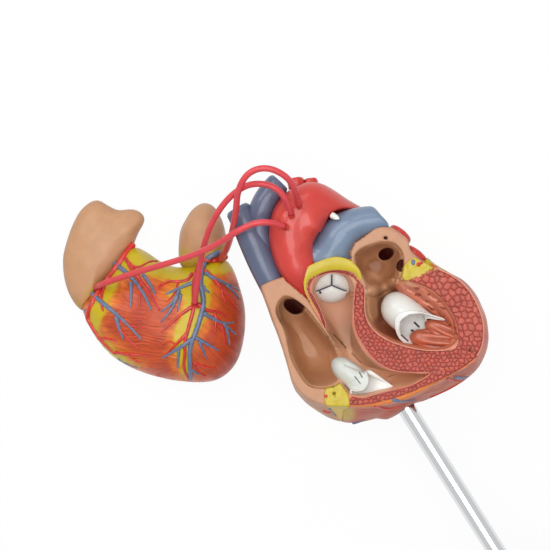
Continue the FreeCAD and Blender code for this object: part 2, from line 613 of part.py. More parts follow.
# ------------------------------------------------------------------------------- stand

def raised_sketch(body, name, height="0 mm"):
    """A sketch on the body's XY plane, raised by an expression."""
    sketch = body.newObject("Sketcher::SketchObject", name)
    plane = next(p for p in body.Origin.OriginFeatures if p.Role == "XY_Plane")
    sketch.AttachmentSupport = [(plane, "")]
    sketch.MapMode = "FlatFace"
    sketch.setExpression("AttachmentOffset.Base.z", height)
    return sketch


def new_body(name):
    """A body with an empty sketch at its foot."""
    body = doc.addObject("PartDesign::Body", name)
    body.Label = name
    return body, raised_sketch(body, f"{name}_profile")


def circle(sketch, diameter):
    """A circle about the sketch's origin, driven by the sheet."""
    index = sketch.addGeometry(Part.Circle(Vector(), Vector(0, 0, 1), 5))
    sketch.addConstraint(Sketcher.Constraint("Coincident", index, 3, -1, 1))
    constraint = sketch.addConstraint(Sketcher.Constraint("Diameter", index, 10))
    sketch.setExpression(f"Constraints[{constraint}]", diameter)


def pad(body, sketch, length, name):
    """Material that a sketch gains in its own body."""
    feature = body.newObject("PartDesign::Pad", name)
    feature.Profile = sketch
    feature.setExpression("Length", length)


def pocket(body, sketch, length, name, reverse=False):
    """Material that a sketch takes out of its own body."""
    feature = body.newObject("PartDesign::Pocket", name)
    feature.Profile = sketch
    feature.setExpression("Length", length)
    feature.Reversed = reverse


# Each stand body is made upright, its own z = 0 at its inner end, then set on the rod's axis.
socket_body, outline = new_body("rod_socket")
circle(outline, "sizes.spigot_dia + 2 * sizes.spigot_clearance + 2 * sizes.socket_wall")
pad(socket_body, outline, "sizes.socket_depth", "socket_sleeve")
bore = raised_sketch(socket_body, "socket_bore_profile", "sizes.socket_end")
circle(bore, "sizes.spigot_dia + 2 * sizes.spigot_clearance")
pocket(socket_body, bore, "sizes.socket_depth", "socket_bore", reverse=True)
socket_body.Placement = on_rod(-size("socket_depth"))

collar_body, outline = new_body("stand_collar")
circle(outline, "sizes.collar_dia")
circle(outline, "sizes.spigot_dia + 2 * sizes.spigot_clearance")
pad(collar_body, outline, "sizes.collar_thickness", "collar_ring")
collar_body.Placement = on_rod(0)

SPIGOT_LENGTH = ("(sizes.collar_thickness + sizes.socket_depth - sizes.socket_end"
                 " - sizes.spigot_end_gap)")
spigot_length = (size("collar_thickness") + size("socket_depth") - size("socket_end")
                 - size("spigot_end_gap"))
rod_body, outline = new_body("stand_rod")
circle(outline, "sizes.spigot_dia")
pad(rod_body, outline, SPIGOT_LENGTH, "spigot")
shank = raised_sketch(rod_body, "rod_profile", SPIGOT_LENGTH)
circle(shank, "sizes.rod_dia")
pad(rod_body, shank, "sizes.rod_reach - sizes.collar_thickness + sizes.rod_seat_depth", "rod")
tapped = raised_sketch(rod_body, "screw_hole_profile", SPIGOT_LENGTH
                       + " + sizes.rod_reach - sizes.collar_thickness + sizes.rod_seat_depth")
circle(tapped, "sizes.screw_dia")
pocket(rod_body, tapped, "sizes.screw_length - sizes.base_thickness + sizes.rod_seat_depth"
       " + sizes.head_recess + sizes.screw_end_gap", "screw_hole")
rod_body.Placement = on_rod(size("collar_thickness") - spigot_length)

base_body, outline = new_body("stand_base")
circle(outline, "sizes.base_dia")
pad(base_body, outline, "sizes.base_thickness", "disc")
seat = raised_sketch(base_body, "rod_seat_profile", "sizes.rod_seat_depth")
circle(seat, "sizes.rod_dia")
pocket(base_body, seat, "sizes.rod_seat_depth", "rod_seat")
through = raised_sketch(base_body, "screw_way_profile", "sizes.base_thickness")
circle(through, "sizes.screw_dia + 2 * sizes.screw_clearance")
pocket(base_body, through, "sizes.base_thickness", "screw_way")
recess = raised_sketch(base_body, "head_recess_profile", "sizes.base_thickness")
circle(recess, "sizes.screw_head_dia + 2 * sizes.screw_clearance")
pocket(base_body, recess, "sizes.head_recess", "head_recess")
doc.recompute()
rims = [f"Edge{n}" for n, e in enumerate(base_body.Shape.Edges, 1)
        if hasattr(e.Curve, "Radius") and abs(e.Curve.Radius - size("base_dia") / 2) < 0.01]
before_rounding = base_body.Tip
rounding = base_body.newObject("PartDesign::Fillet", "rounded_rims")
rounding.Base = (before_rounding, rims)
rounding.setExpression("Radius", "sizes.base_fillet")
base_body.Placement = on_rod(size("rod_reach"))

screw_body, outline = new_body("base_screw")
circle(outline, "sizes.screw_dia")
pad(screw_body, outline, "sizes.screw_length", "screw_shank")
head = raised_sketch(screw_body, "screw_head_profile", "sizes.screw_length")
circle(head, "sizes.screw_head_dia")
pad(screw_body, head, "sizes.screw_head_height", "screw_head")
key = raised_sketch(screw_body, "screw_key_profile", "sizes.screw_length + sizes.screw_head_height")
corner_radius = size("screw_key") / 2 / math.cos(math.radians(30))
corners = [Rotation(Vector(0, 0, 1), 60 * k).multVec(Vector(corner_radius, 0, 0)) for k in range(6)]
key_lines = [key.addGeometry(Part.LineSegment(corners[k], corners[(k + 1) % 6])) for k in range(6)]
guide = key.addGeometry(Part.Circle(Vector(), Vector(0, 0, 1), corner_radius), True)
key.addConstraint(Sketcher.Constraint("Coincident", guide, 3, -1, 1))
guide_size = key.addConstraint(Sketcher.Constraint("Diameter", guide, 2 * corner_radius))
key.setExpression(f"Constraints[{guide_size}]", "sizes.screw_key / cos(30 deg)")
for k in range(6):
    key.addConstraint(Sketcher.Constraint("Coincident", key_lines[k], 2, key_lines[(k + 1) % 6], 1))
    key.addConstraint(Sketcher.Constraint("PointOnObject", key_lines[k], 1, guide))
for k in range(5):
    key.addConstraint(Sketcher.Constraint("Equal", key_lines[k], key_lines[k + 1]))
key.addConstraint(Sketcher.Constraint("PointOnObject", key_lines[0], 1, -1))
pocket(screw_body, key, "sizes.key_depth", "screw_key")
head_seat = size("rod_reach") + size("base_thickness") - size("head_recess")
screw_body.Placement = on_rod(head_seat - size("screw_length"))

pad_body, outline = new_body("foot_pad")
circle(outline, "sizes.base_dia - 2 * sizes.base_fillet - 2 * sizes.pad_margin")
circle(outline, "sizes.pad_hole_dia")
pad(pad_body, outline, "sizes.pad_thickness", "pad_disc")
pad_body.Placement = on_rod(size("rod_reach") + size("base_thickness"))
doc.recompute()

# ------------------------------------------------------------------------------ export

shapes = {**castings, **great_vessels, **valves, **muscles, **front_parts, **coronaries, **tubes, **ports}
for label, shape in shapes.items():
    feature = doc.addObject("Part::Feature", label)
    feature.Label = label
    feature.Shape = shape
doc.recompute()

for thing in doc.Objects:
    if "Invalid" in thing.State or "Error" in thing.State:
        raise RuntimeError(f"{thing.Label} didn't build: {thing.State}")

bodies = [socket_body, collar_body, rod_body, base_body, screw_body, pad_body]
sub_parts = [doc.getObject(label) for label in shapes] + [locating_pins] + bodies
for sub_part in sub_parts:
    shape = sub_part.Shape
    if shape.isNull() or not shape.isValid() or not shape.Solids:
        raise RuntimeError(f"{sub_part.Label} isn't a valid solid")

os.makedirs("parts", exist_ok=True)
for sub_part in sub_parts:
    sub_part.Shape.exportStep(os.path.join("parts", f"{sub_part.Label}.step"))
    print(f"{sub_part.Label}: {len(sub_part.Shape.Solids)} solids, {sub_part.Shape.Volume:.0f} mm3")
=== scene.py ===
# %% [markdown]
# # An opened heart model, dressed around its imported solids
# A teaching heart lies on its back, cut open, with its front wall beside it and three bypass tubes
# between the two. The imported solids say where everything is. This lesson gives each of them its
# surface. Lengths are in millimetres until a mesh is made, and Blender's own unit is the metre.

# %% The frame
import bmesh
import bpy
import numpy as np
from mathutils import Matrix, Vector
from mathutils.bvhtree import BVHTree


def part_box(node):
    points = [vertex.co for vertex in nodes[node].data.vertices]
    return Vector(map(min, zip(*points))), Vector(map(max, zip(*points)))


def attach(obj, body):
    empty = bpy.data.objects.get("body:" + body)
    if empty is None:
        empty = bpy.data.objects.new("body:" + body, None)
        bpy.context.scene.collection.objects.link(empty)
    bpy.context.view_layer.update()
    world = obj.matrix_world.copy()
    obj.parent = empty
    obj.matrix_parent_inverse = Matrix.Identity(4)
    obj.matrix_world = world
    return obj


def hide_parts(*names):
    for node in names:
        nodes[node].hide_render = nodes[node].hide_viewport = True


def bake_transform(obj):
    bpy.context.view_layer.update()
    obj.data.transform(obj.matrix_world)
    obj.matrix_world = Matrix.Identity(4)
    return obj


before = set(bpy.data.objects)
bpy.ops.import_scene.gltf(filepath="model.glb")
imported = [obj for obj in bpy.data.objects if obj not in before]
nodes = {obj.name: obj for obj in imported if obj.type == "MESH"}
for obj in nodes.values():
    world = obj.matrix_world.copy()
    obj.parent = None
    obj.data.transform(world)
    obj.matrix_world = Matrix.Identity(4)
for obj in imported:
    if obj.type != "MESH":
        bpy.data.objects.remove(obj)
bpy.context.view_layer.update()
MM = 0.001


def placed(name, data):
    """A new object that holds the data, put in the scene."""
    made = bpy.data.objects.new(name, data)
    bpy.context.scene.collection.objects.link(made)
    return made


# %% [markdown]
# ## The camera
# The camera looks straight down from a metre up, with +Y at the top of the picture. A long lens
# keeps the depth of the heart from spreading it towards the edges.

# %% Camera
CAMERA_PLACE = (-63.0, 25.2, 1000.0)
LENS = 96.4

camera_data = bpy.data.cameras.new("camera")
camera_data.sensor_width = 36.0
camera_data.lens = LENS
camera = placed("camera", camera_data)
camera.location = Vector(CAMERA_PLACE) * MM
bpy.context.scene.camera = camera

# %% [markdown]
# ## Curves and grids
# Almost every new piece here is a grid of points worked out from two parameters: one runs along
# the piece and one goes round or across it. These helpers make smooth lines through a few chosen
# points, carry rings along such a line, and turn a grid into a mesh.

# %% Lines
def length_along(points):
    """How far along its polyline each point lies."""
    return np.concatenate([[0], np.cumsum(np.linalg.norm(np.diff(points, axis=0), axis=1))])


def smooth_line(points, count, closed=False):
    """count points of the cubic spline through the points, with chord length as its parameter.
    At each given point the two cubics beside it share their slope and their bend."""
    p = np.asarray(points, float)
    if closed:
        p = np.vstack([p, p[:1]])
    t = length_along(p)
    h = np.diff(t)
    size = len(h) if closed else len(p)
    rows = np.arange(size) if closed else np.arange(1, size - 1)
    left, right = h[rows - 1], h[rows % len(h)]
    system, bends = np.eye(size), np.zeros((size, p.shape[1]))
    system[rows] = 0
    system[rows, rows] = 2 * (left + right)
    system[rows, (rows - 1) % size] += left
    system[rows, (rows + 1) % size] += right
    before = p[(rows - 1) % len(h)] if closed else p[rows - 1]
    bends[rows] = 6 * ((p[rows + 1] - p[rows]) / right[:, None] - (p[rows] - before) / left[:, None])
    bend = np.linalg.solve(system, bends)
    if closed:
        bend = np.vstack([bend, bend[:1]])
    s = np.linspace(0, t[-1], count, endpoint=not closed)
    k = np.clip(np.searchsorted(t, s, side="right") - 1, 0, len(h) - 1)
    a, b = ((t[k + 1] - s) / h[k])[:, None], ((s - t[k]) / h[k])[:, None]
    cubic = ((a ** 3 - a) * bend[k] + (b ** 3 - b) * bend[k + 1]) * (h[k] ** 2 / 6)[:, None]
    return a * p[k] + b * p[k + 1] + cubic


def unit(vectors):
    """Each vector divided by its own length."""
    return vectors / np.maximum(np.linalg.norm(vectors, axis=-1, keepdims=True), 1e-9)


def frames_along(line, up=(0, 0, 1)):
    """The way, the side and the top at each point of a line: the side is square to the way and
    to a fixed up, and the top is square to both."""
    way = unit(np.gradient(line, axis=0))
    side = unit(np.cross(way, np.asarray(up, float)))
    return way, side, np.cross(side, way)


def rings_along(line, radii, turns, up=(0, 0, 1)):
    """Rings carried along a line: point = line + radius * (cos(turn) * side + sin(turn) * top)."""
    _, side, top = frames_along(line, up)
    angle = np.linspace(0, 2 * np.pi, turns, endpoint=False)
    r = np.broadcast_to(np.asarray(radii, float), (len(line),))[:, None, None]
    across = np.cos(angle)[None, :, None] * side[:, None] + np.sin(angle)[None, :, None] * top[:, None]
    return line[:, None] + r * across


def closed_rod(line, radii, turns=12, up=(0, 0, 1)):
    """A rod with domed ends: the rings shrink over the last stretch of the line as the square
    root of one less the square of the way to the tip."""
    reach = length_along(line)
    cap = min(radii[0], reach[-1] / 2)
    near = np.minimum(np.minimum(reach, reach[-1] - reach) / max(cap, 1e-6), 1)
    dome = np.sqrt(np.maximum(1 - (1 - near) ** 2, 0.0))
    return rings_along(line, np.maximum(np.asarray(radii) * dome, 0.02), turns, up)


# %% Meshes
def loft(rings):
    """Vertices and faces of a closed solid through closed rings, with a fan over each end."""
    rows, columns = rings.shape[:2]
    verts = np.vstack([rings.reshape(-1, 3), rings[0].mean(0), rings[-1].mean(0)])
    j = np.arange(columns)
    j2, last = (j + 1) % columns, (rows - 1) * columns
    ring = np.arange(rows - 1)[:, None] * columns
    quads = np.stack([ring + j, ring + j2, ring + columns + j2, ring + columns + j], -1).reshape(-1, 4)
    first_fan = np.stack([j2, j, np.full(columns, rows * columns)], 1)
    last_fan = np.stack([last + j, last + j2, np.full(columns, rows * columns + 1)], 1)
    return verts, quads.tolist() + first_fan.tolist() + last_fan.tolist()


def joined(*solids):
    """Several solids as one list of vertices and one of faces."""
    verts, faces, start = [], [], 0
    for v, f in solids:
        verts.append(v)
        faces += [[start + i for i in face] for face in f]
        start += len(v)
    return np.vstack(verts), faces


def outwards(mesh):
    """Turns every face of a closed mesh outwards."""
    bm = bmesh.new()
    bm.from_mesh(mesh)
    bmesh.ops.recalc_face_normals(bm, faces=bm.faces)
    bm.to_mesh(mesh)
    bm.free()


def surface(name, verts, faces, material):
    """A smooth mesh object whose points are given in millimetres."""
    mesh = bpy.data.meshes.new(name)
    mesh.from_pydata((verts * MM).tolist(), [], faces)
    outwards(mesh)
    mesh.shade_smooth()
    mesh.materials.append(material)
    return placed(name, mesh)


def piece(name, verts, faces, body, material, replaces=()):
    """A surface that rides on a body."""
    made = surface(name, verts, faces, material)
    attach(made, body)
    if replaces:
        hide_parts(*replaces)
    return made


def set_paint(mesh, colours):
    """Stores one colour for each vertex, given as 0 to 255 as on a screen."""
    linear = screen_to_linear(colours)
    opaque = np.hstack([linear, np.ones((len(linear), 1))]).astype(np.float32)
    attribute = mesh.attributes.get("paint") or mesh.attributes.new("paint", "FLOAT_COLOR", "POINT")
    attribute.data.foreach_set("color", opaque.ravel())


def screen_to_linear(colour):
    """The light of a screen colour: its share of 255, to the power that screens apply."""
    share = np.asarray(colour, float) / 255
    return np.where(share <= 0.04045, share / 12.92, ((share + 0.055) / 1.055) ** 2.4)


# %% [markdown]
# ## Fields
# Paint and relief both follow from where a point is. A field gives a number for every point at
# once: how far it is from a curve, whether it is inside an outline, or a soft random bump.

# %% Fields
def inside(points, outline):
    """Whether plan points lie in a closed outline: a ray to the right crosses it an odd number of times."""
    x, y = points[:, 0][:, None], points[:, 1][:, None]
    a, b = outline, np.roll(outline, -1, axis=0)
    spans = (a[:, 1] > y) != (b[:, 1] > y)
    rise = np.where(a[:, 1] == b[:, 1], 1e-9, b[:, 1] - a[:, 1])
    return (spans & (x < (b[:, 0] - a[:, 0]) * (y - a[:, 1]) / rise + a[:, 0])).sum(1) % 2 == 1


def distance_to(points, line, chunk=6000):
    """How far each point is from a line of closely set points."""
    return np.concatenate([np.sqrt(((points[i:i + chunk, None] - line[None]) ** 2).sum(-1).min(1))
                           for i in range(0, len(points), chunk)])


def fade(value, start, end):
    """0 before start and 1 after end, with an even slope at both, whichever is larger."""
    share = np.clip((value - start) / (end - start), 0, 1)
    return share * share * (3 - 2 * share)


def bumps(points, pitch, seed, waves=12):
    """A soft random field from -1 to 1: a sum of plane waves about a pitch long, each with its
    own random direction and start."""
    rng = np.random.default_rng(seed)
    ways = unit(rng.normal(size=(waves, points.shape[1])))
    ways = ways * rng.uniform(0.7, 1.4, (waves, 1)) * 2 * np.pi / pitch
    starts = rng.uniform(0, 2 * np.pi, waves)
    return sum(np.sin(points @ way + start) for way, start in zip(ways, starts)) / (0.5 * waves) ** 0.5 / 2


def mix(a, b, share):
    """The colours a turned towards b by a share for each point."""
    return a + (np.asarray(b, float) - a) * np.clip(share, 0, 1)[:, None]


def plain(tint, count):
    """One colour for each of count points."""
    return np.tile(np.asarray(tint, float), (count, 1))


def depth_inside(points, outline, reach):
    """0 outside an outline, growing to 1 at a reach inside it."""
    return np.where(inside(points, outline), fade(distance_to(points, outline), 0, reach), 0.0)


def cells(points, seeds, neighbours=6, chunk=4000):
    """Cobbles round seeds: each point's nearest seed, and how far the point is from the nearest
    line halfway between that seed and one of its neighbours."""
    nearest, edge = [], []
    for i in range(0, len(points), chunk):
        apart = ((points[i:i + chunk, None] - seeds[None]) ** 2).sum(-1)
        few = np.argsort(apart, axis=1)[:, :neighbours]
        near = np.take_along_axis(apart, few, 1)
        gaps = np.linalg.norm(seeds[few[:, 1:]] - seeds[few[:, :1]], axis=-1)
        edge.append(((near[:, 1:] - near[:, :1]) / (2 * gaps)).min(1))
        nearest.append(few[:, 0])
    return np.concatenate(nearest), np.concatenate(edge)


# %% [markdown]
# ## Finishes
# The model is cast in a hard plastic, painted by hand and lacquered. Its paint is kept on the
# vertices where it changes over a piece, and the shader adds what is too fine for them: a little
# mottling of the pigment, a slight waviness of the surface and the shine of the lacquer.

# %% Shader helpers
def new_material(name):
    """A node material and its Principled shader."""
    material = bpy.data.materials.new(name)
    material.use_nodes = True
    return material, material.node_tree, material.node_tree.nodes["Principled BSDF"]


def add_node(tree, kind, **inputs):
    """A shader node with some of its inputs set."""
    node = tree.nodes.new(kind)
    for key, value in inputs.items():
        node.inputs[key.replace("_", " ")].default_value = value
    return node


def noise_at(tree, pitch, detail=3.0):
    """Noise whose grain is about a pitch, in millimetres, on the object's own coordinates."""
    noise = add_node(tree, "ShaderNodeTexNoise", Scale=1 / (pitch * MM), Detail=detail)
    tree.links.new(tree.nodes.new("ShaderNodeTexCoord").outputs["Object"], noise.inputs["Vector"])
    return noise.outputs["Fac"]


def scaled(tree, value, low, high):
    """A value from 0.3 to 0.7 stretched over low to high, as noise mostly lies there."""
    stretch = tree.nodes.new("ShaderNodeMapRange")
    stretch.inputs["From Min"].default_value, stretch.inputs["From Max"].default_value = 0.3, 0.7
    stretch.inputs["To Min"].default_value, stretch.inputs["To Max"].default_value = low, high
    tree.links.new(value, stretch.inputs["Value"])
    return stretch.outputs["Result"]


def attribute_of(tree, name, output="Color"):
    """What the vertices keep under a name."""
    node = tree.nodes.new("ShaderNodeAttribute")
    node.attribute_name = name
    return node.outputs[output]


def bump_from(tree, height, shader, distance, strength=0.5):
    """Feeds a height into the shader's normal."""
    bump = add_node(tree, "ShaderNodeBump", Strength=strength, Distance=distance * MM)
    tree.links.new(height, bump.inputs["Height"])
    tree.links.new(bump.outputs["Normal"], shader.inputs["Normal"])


def combined(tree, operation, first, second):
    """Two sockets, or a socket and a number, brought together by a sum of the given kind."""
    node = tree.nodes.new("ShaderNodeMath")
    node.operation = operation
    for socket, value in zip(node.inputs, (first, second)):
        if isinstance(value, float):
            socket.default_value = value
        else:
            tree.links.new(value, socket)
    return node.outputs[0]


def painted(name, colour=None, mottle=0.08, roughness=(0.28, 0.42), coat=0.35, wave=0.05, pitch=6.0,
            shine=0.5):
    """Lacquered paint. The colour is the vertices' own paint, or one colour, made a little lighter
    and darker by noise. The lacquer is the shader's coat over a less glossy paint."""
    material, tree, shader = new_material(name)
    value = add_node(tree, "ShaderNodeHueSaturation")
    if colour is None:
        tree.links.new(attribute_of(tree, "paint"), value.inputs["Color"])
    else:
        value.inputs["Color"].default_value = (*screen_to_linear(colour), 1)
    mottling = scaled(tree, noise_at(tree, pitch), 1 - mottle, 1 + mottle)
    tree.links.new(mottling, value.inputs["Value"])
    tree.links.new(value.outputs["Color"], shader.inputs["Base Color"])
    gloss = noise_at(tree, 2.5 * pitch, 2.0)
    tree.links.new(scaled(tree, gloss, *roughness), shader.inputs["Roughness"])
    shader.inputs["Coat Weight"].default_value = coat
    shader.inputs["Coat Roughness"].default_value = 0.08
    shader.inputs["Specular IOR Level"].default_value = shine
    bump_from(tree, noise_at(tree, 1.2, 2.0), shader, wave)
    return material


def muscle(name, coat=0.3, shine=0.5, depth=0.45, share=0.55):
    """Painted muscle: the vertices' paint, crossed by fine fibres. The fibres are noise read on a
    grain, which the vertices keep as coordinates long across the fibres and short along them."""
    material, tree, shader = new_material(name)
    fibre = add_node(tree, "ShaderNodeTexNoise", Scale=1.0, Detail=5.0, Roughness=0.62)
    tree.links.new(attribute_of(tree, "grain", "Vector"), fibre.inputs["Vector"])
    # The ramp lightens the paint along the fibres' raised ridges and darkens it in the valleys between them.
    # This is partly the fibres' own colour and partly a painted highlight and painted shade.
    ramp = tree.nodes.new("ShaderNodeValToRGB")
    stops = ramp.color_ramp.elements
    stops[0].position, stops[0].color = 0.34, (0.5, 0.38, 0.36, 1)
    stops[1].position, stops[1].color = 0.7, (1.25, 1.3, 1.3, 1)
    tree.links.new(fibre.outputs["Fac"], ramp.inputs["Fac"])
    streak = attribute_of(tree, "streak", "Fac")
    streaked = tree.nodes.new("ShaderNodeMix")
    streaked.data_type, streaked.blend_type = "RGBA", "MULTIPLY"
    tree.links.new(combined(tree, "MULTIPLY", streak, share), streaked.inputs["Factor"])
    tree.links.new(attribute_of(tree, "paint"), streaked.inputs[6])
    tree.links.new(ramp.outputs["Color"], streaked.inputs[7])
    tree.links.new(streaked.outputs[2], shader.inputs["Base Color"])
    tree.links.new(scaled(tree, noise_at(tree, 9.0), 0.3, 0.46), shader.inputs["Roughness"])
    shader.inputs["Coat Weight"].default_value = coat
    shader.inputs["Coat Roughness"].default_value = 0.1
    shader.inputs["Specular IOR Level"].default_value = shine
    bump_from(tree, combined(tree, "MULTIPLY", streak, fibre.outputs["Fac"]), shader, depth, 0.8)
    return material


# %% Finishes of the object
casting_paint = painted("casting_paint", mottle=0.045, roughness=(0.4, 0.55), coat=0.06, shine=0.35)
muscle_paint = muscle("muscle_paint", coat=0.05, shine=0.25)
wall_paint = muscle("wall_paint", coat=0.15, shine=0.3, depth=0.55, share=0.6)
cut_paint = painted("cut_paint", mottle=0.08, roughness=(0.38, 0.52), coat=0.08, pitch=3.0, shine=0.4)
fat_paint = painted("fat_paint", mottle=0.05, roughness=(0.36, 0.5), coat=0.15)
vessel_paint = painted("vessel_paint", mottle=0.04, roughness=(0.34, 0.48), coat=0.4, shine=0.4)
valve_paint = painted("valve_paint", mottle=0.02, roughness=(0.32, 0.45), coat=0.15)
papillary_paint = painted("papillary_paint", mottle=0.07, roughness=(0.3, 0.44), coat=0.25)
relief_paint = painted("relief_paint", mottle=0.1, roughness=(0.3, 0.44), coat=0.25, pitch=3.0)
base_black = painted("base_black", (28, 28, 30), mottle=0.06, roughness=(0.22, 0.34), coat=0.3)
rubber_black = painted("rubber_black", (24, 24, 25), mottle=0.1, roughness=(0.6, 0.75), coat=0.0, wave=0.12)
socket_grey = painted("socket_grey", (150, 150, 152), mottle=0.04)


def metal(name, colour, roughness, scratch):
    """Bare metal: a mirror broken up by fine streaks."""
    material, tree, shader = new_material(name)
    shader.inputs["Base Color"].default_value = (*screen_to_linear(colour), 1)
    shader.inputs["Metallic"].default_value = 1.0
    tree.links.new(scaled(tree, noise_at(tree, 4.0), *roughness), shader.inputs["Roughness"])
    bump_from(tree, noise_at(tree, 0.8, 4.0), shader, scratch, 0.3)
    return material


chrome = metal("chrome", (224, 226, 228), (0.04, 0.12), 0.004)
steel = metal("steel", (176, 177, 180), (0.2, 0.34), 0.01)

# %% [markdown]
# ## The bypass tubes
# Three limp red tubes leave the aorta, cross each other in the air and end on the front wall. Each
# is one smooth spline through the route's points, so they hang as a soft tube does. A mesh is
# carried along the spline, because these tubes stretch when the wall is lifted.

# %% Routes
TUBE_DIAMETER = 4.0
TUBE_ROUTES = {
    "circumflex": [(-48, 69, 82), (-49.5, 75.5, 93), (-55, 85, 102.5), (-67.5, 91, 106.5),
    (-79.5, 88, 104.5), (-86, 77, 99), (-87, 65.5, 89), (-89.5, 54, 75), (-92.5, 45.5, 56), (-96, 39, 36),
    (-99.5, 35.5, 17)],
    "anterior": [(-53, 63.5, 82.5), (-55, 70.5, 91), (-63, 80, 96), (-77, 82, 94.5), (-88, 76.5, 91),
    (-97.5, 66.5, 84), (-104.5, 54.5, 74), (-109.5, 40, 61), (-112.5, 25, 50), (-114.5, 14, 43.5),
    (-115.5, 7, 37.5)],
    "right": [(-57.5, 55.5, 82), (-63.5, 57.5, 88.5), (-74, 58, 91.5), (-85.5, 53, 90), (-97, 45.5, 82),
    (-113.5, 38, 69), (-134, 32, 56), (-153, 27, 45), (-167, 22.5, 37), (-176, 19.5, 31.5),
    (-180, 18, 24.5), (-182, 17, 17)], }


def line_of_route(route):
    """The points of the NURBS spline that a route's points control."""
    curve = bpy.data.curves.new("route", "CURVE")
    curve.dimensions = "3D"
    curve.resolution_u = 12
    spline = curve.splines.new("NURBS")
    spline.points.add(len(route) - 1)
    for point, place in zip(spline.points, route):
        point.co = (*(Vector(place) * MM), 1)
    spline.order_u = 3
    spline.use_endpoint_u = True
    holder = bpy.data.objects.new("route", curve)
    mesh = bpy.data.meshes.new_from_object(holder)
    line = np.array([vertex.co for vertex in mesh.vertices]) / MM
    bpy.data.objects.remove(holder)
    return line


# %% Tubes
def tube_finish():
    """Smooth red rubber with a soft sheen, a little uneven in its dye."""
    material = painted("tube_red", (214, 66, 74), mottle=0.06, roughness=(0.36, 0.48), coat=0.1, wave=0.03)
    shader = material.node_tree.nodes["Principled BSDF"]
    shader.inputs["Subsurface Weight"].default_value = 0.08
    shader.inputs["Subsurface Scale"].default_value = 2 * MM
    return material


tube_red = tube_finish()
for name, route in TUBE_ROUTES.items():
    line = line_of_route(route)
    rings = rings_along(line, TUBE_DIAMETER / 2, 20, up=(0.6, -0.5, 0.1))
    tube = surface(f"tube_{name}", *loft(rings), tube_red)
    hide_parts(f"bypass_tube_{name}")
    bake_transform(tube)

# %% [markdown]
# ## The castings
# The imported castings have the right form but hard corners. A copy of each is merged, remeshed into
# small even squares and smoothed a little, which rounds its edges as a mould does. Then fields
# move and paint its vertices.

# %% Remeshed copies
def moulded(name, node, body, material, voxel=0.7, rounds=6):
    """A remeshed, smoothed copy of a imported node, as a piece that replaces it."""
    mesh = nodes[node].data.copy()
    bm = bmesh.new()
    bm.from_mesh(mesh)
    bmesh.ops.remove_doubles(bm, verts=bm.verts, dist=0.002 * MM)
    bm.to_mesh(mesh)
    bm.free()
    rough = placed("rough", mesh)
    remesh = rough.modifiers.new("even", "REMESH")
    remesh.mode = "VOXEL"
    remesh.voxel_size = voxel * MM
    smooth = rough.modifiers.new("soft", "SMOOTH")
    smooth.factor = 0.5
    smooth.iterations = rounds
    depsgraph = bpy.context.evaluated_depsgraph_get()
    even = bpy.data.meshes.new_from_object(rough.evaluated_get(depsgraph))
    bpy.data.objects.remove(rough)
    even.name = name
    even.materials.clear()
    even.materials.append(material)
    even.shade_smooth()
    made = placed(name, even)
    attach(made, body)
    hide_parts(node)
    print(name, len(even.polygons), "faces")
    return made


def vertices_of(made):
    """The vertices and normals of a piece, in millimetres."""
    count = len(made.data.vertices)
    points, normals = np.empty(count * 3), np.empty(count * 3)
    made.data.vertices.foreach_get("co", points)
    made.data.vertex_normals.foreach_get("vector", normals)
    return points.reshape(-1, 3) / MM, normals.reshape(-1, 3)


def move_vertices(made, points):
    """Puts a piece's vertices at points in millimetres."""
    made.data.vertices.foreach_set("co", (points * MM).astype(np.float32).ravel())
    made.data.update()


def keep_numbers(mesh, name, values):
    """Stores a number, or a vector of three, for each vertex."""
    kind, field = ("FLOAT", "value") if values.ndim == 1 else ("FLOAT_VECTOR", "vector")
    attribute = mesh.attributes.new(name, kind, "POINT")
    attribute.data.foreach_set(field, values.astype(np.float32).ravel())


def relaxed(made, points, rounds):
    """Evens out a surface: each round moves every point halfway to the mean of its neighbours."""
    edges = np.empty(len(made.data.edges) * 2, dtype=np.int64)
    made.data.edges.foreach_get("vertices", edges)
    a, b = edges.reshape(-1, 2).T
    count = np.bincount(edges, minlength=len(points))[:, None]
    for _ in range(rounds):
        total = np.stack([np.bincount(a, points[b, k], len(points))
                          + np.bincount(b, points[a, k], len(points)) for k in range(3)], 1)
        points = 0.5 * points + 0.5 * total / count
    return points


# %% Outlines of the cut face
CUT = 72.0           # height of the cut face
CHAMBERS = {
    "right_atrium": [(-61.5, 7.5), (-56.5, 12), (-48.5, 9), (-38, -2), (-27, -16), (-19, -31), (-22, -43),
    (-31.5, -46.5), (-39.5, -46), (-47, -39), (-53.5, -25), (-58.5, -7)],
    "right_ventricle": [(-39, 19), (-31.5, 26.5), (-20, 26.5), (-13, 17), (-14.5, 0), (-10.5, -17.5),
    (0, -30), (16, -35.5), (34.5, -37), (23.5, -43.5), (6.5, -48), (-8, -51.5), (-17.5, -49),
    (-23.5, -36), (-27, -19), (-33.5, -2)],
    "left_atrium": [(-10.5, 28.5), (-11.5, 39.5), (-3, 44.5), (7, 46.5), (16, 42), (18.5, 33.5), (16, 22),
    (8, 13), (-3, 15.5)],
    "left_ventricle": [(-6.5, 17), (4.5, 22), (16, 22), (26, 19.5), (36, 14.5), (44.5, 6.5), (51, -4),
    (53, -13), (47.5, -20), (31.5, -22), (16, -18.5), (3, -12), (-5, -2), (-7.5, 8)], }
TRUNK_BED = [
    (-43.7, 27.1), (-42.8, 33.4), (-39.7, 44.1), (-34.7, 50.4), (-28.4, 57.3), (-18.9, 62.4), (4.5, 58),
    (-5.2, 50.3), (-12.4, 45.2), (-15, 40), (-15, 33.6), (-17, 34), (-24, 35), (-32.5, 34), (-39, 31.5)]
AORTA_BED = [
    (-66, 40), (-61.4, 29.1), (-56.7, 22.2), (-51.3, 17.5), (-45.9, 12.8), (-42.2, 9.5), (-39.7, 7),
    (-42, 10.7), (-43.8, 13.8), (-44.8, 17.5), (-45, 22), (-44.5, 27), (-45.5, 40)]
PIN_HOLES = np.array([(7.0, 48.5), (60.0, -22.0), (-25.8, -49.5)])
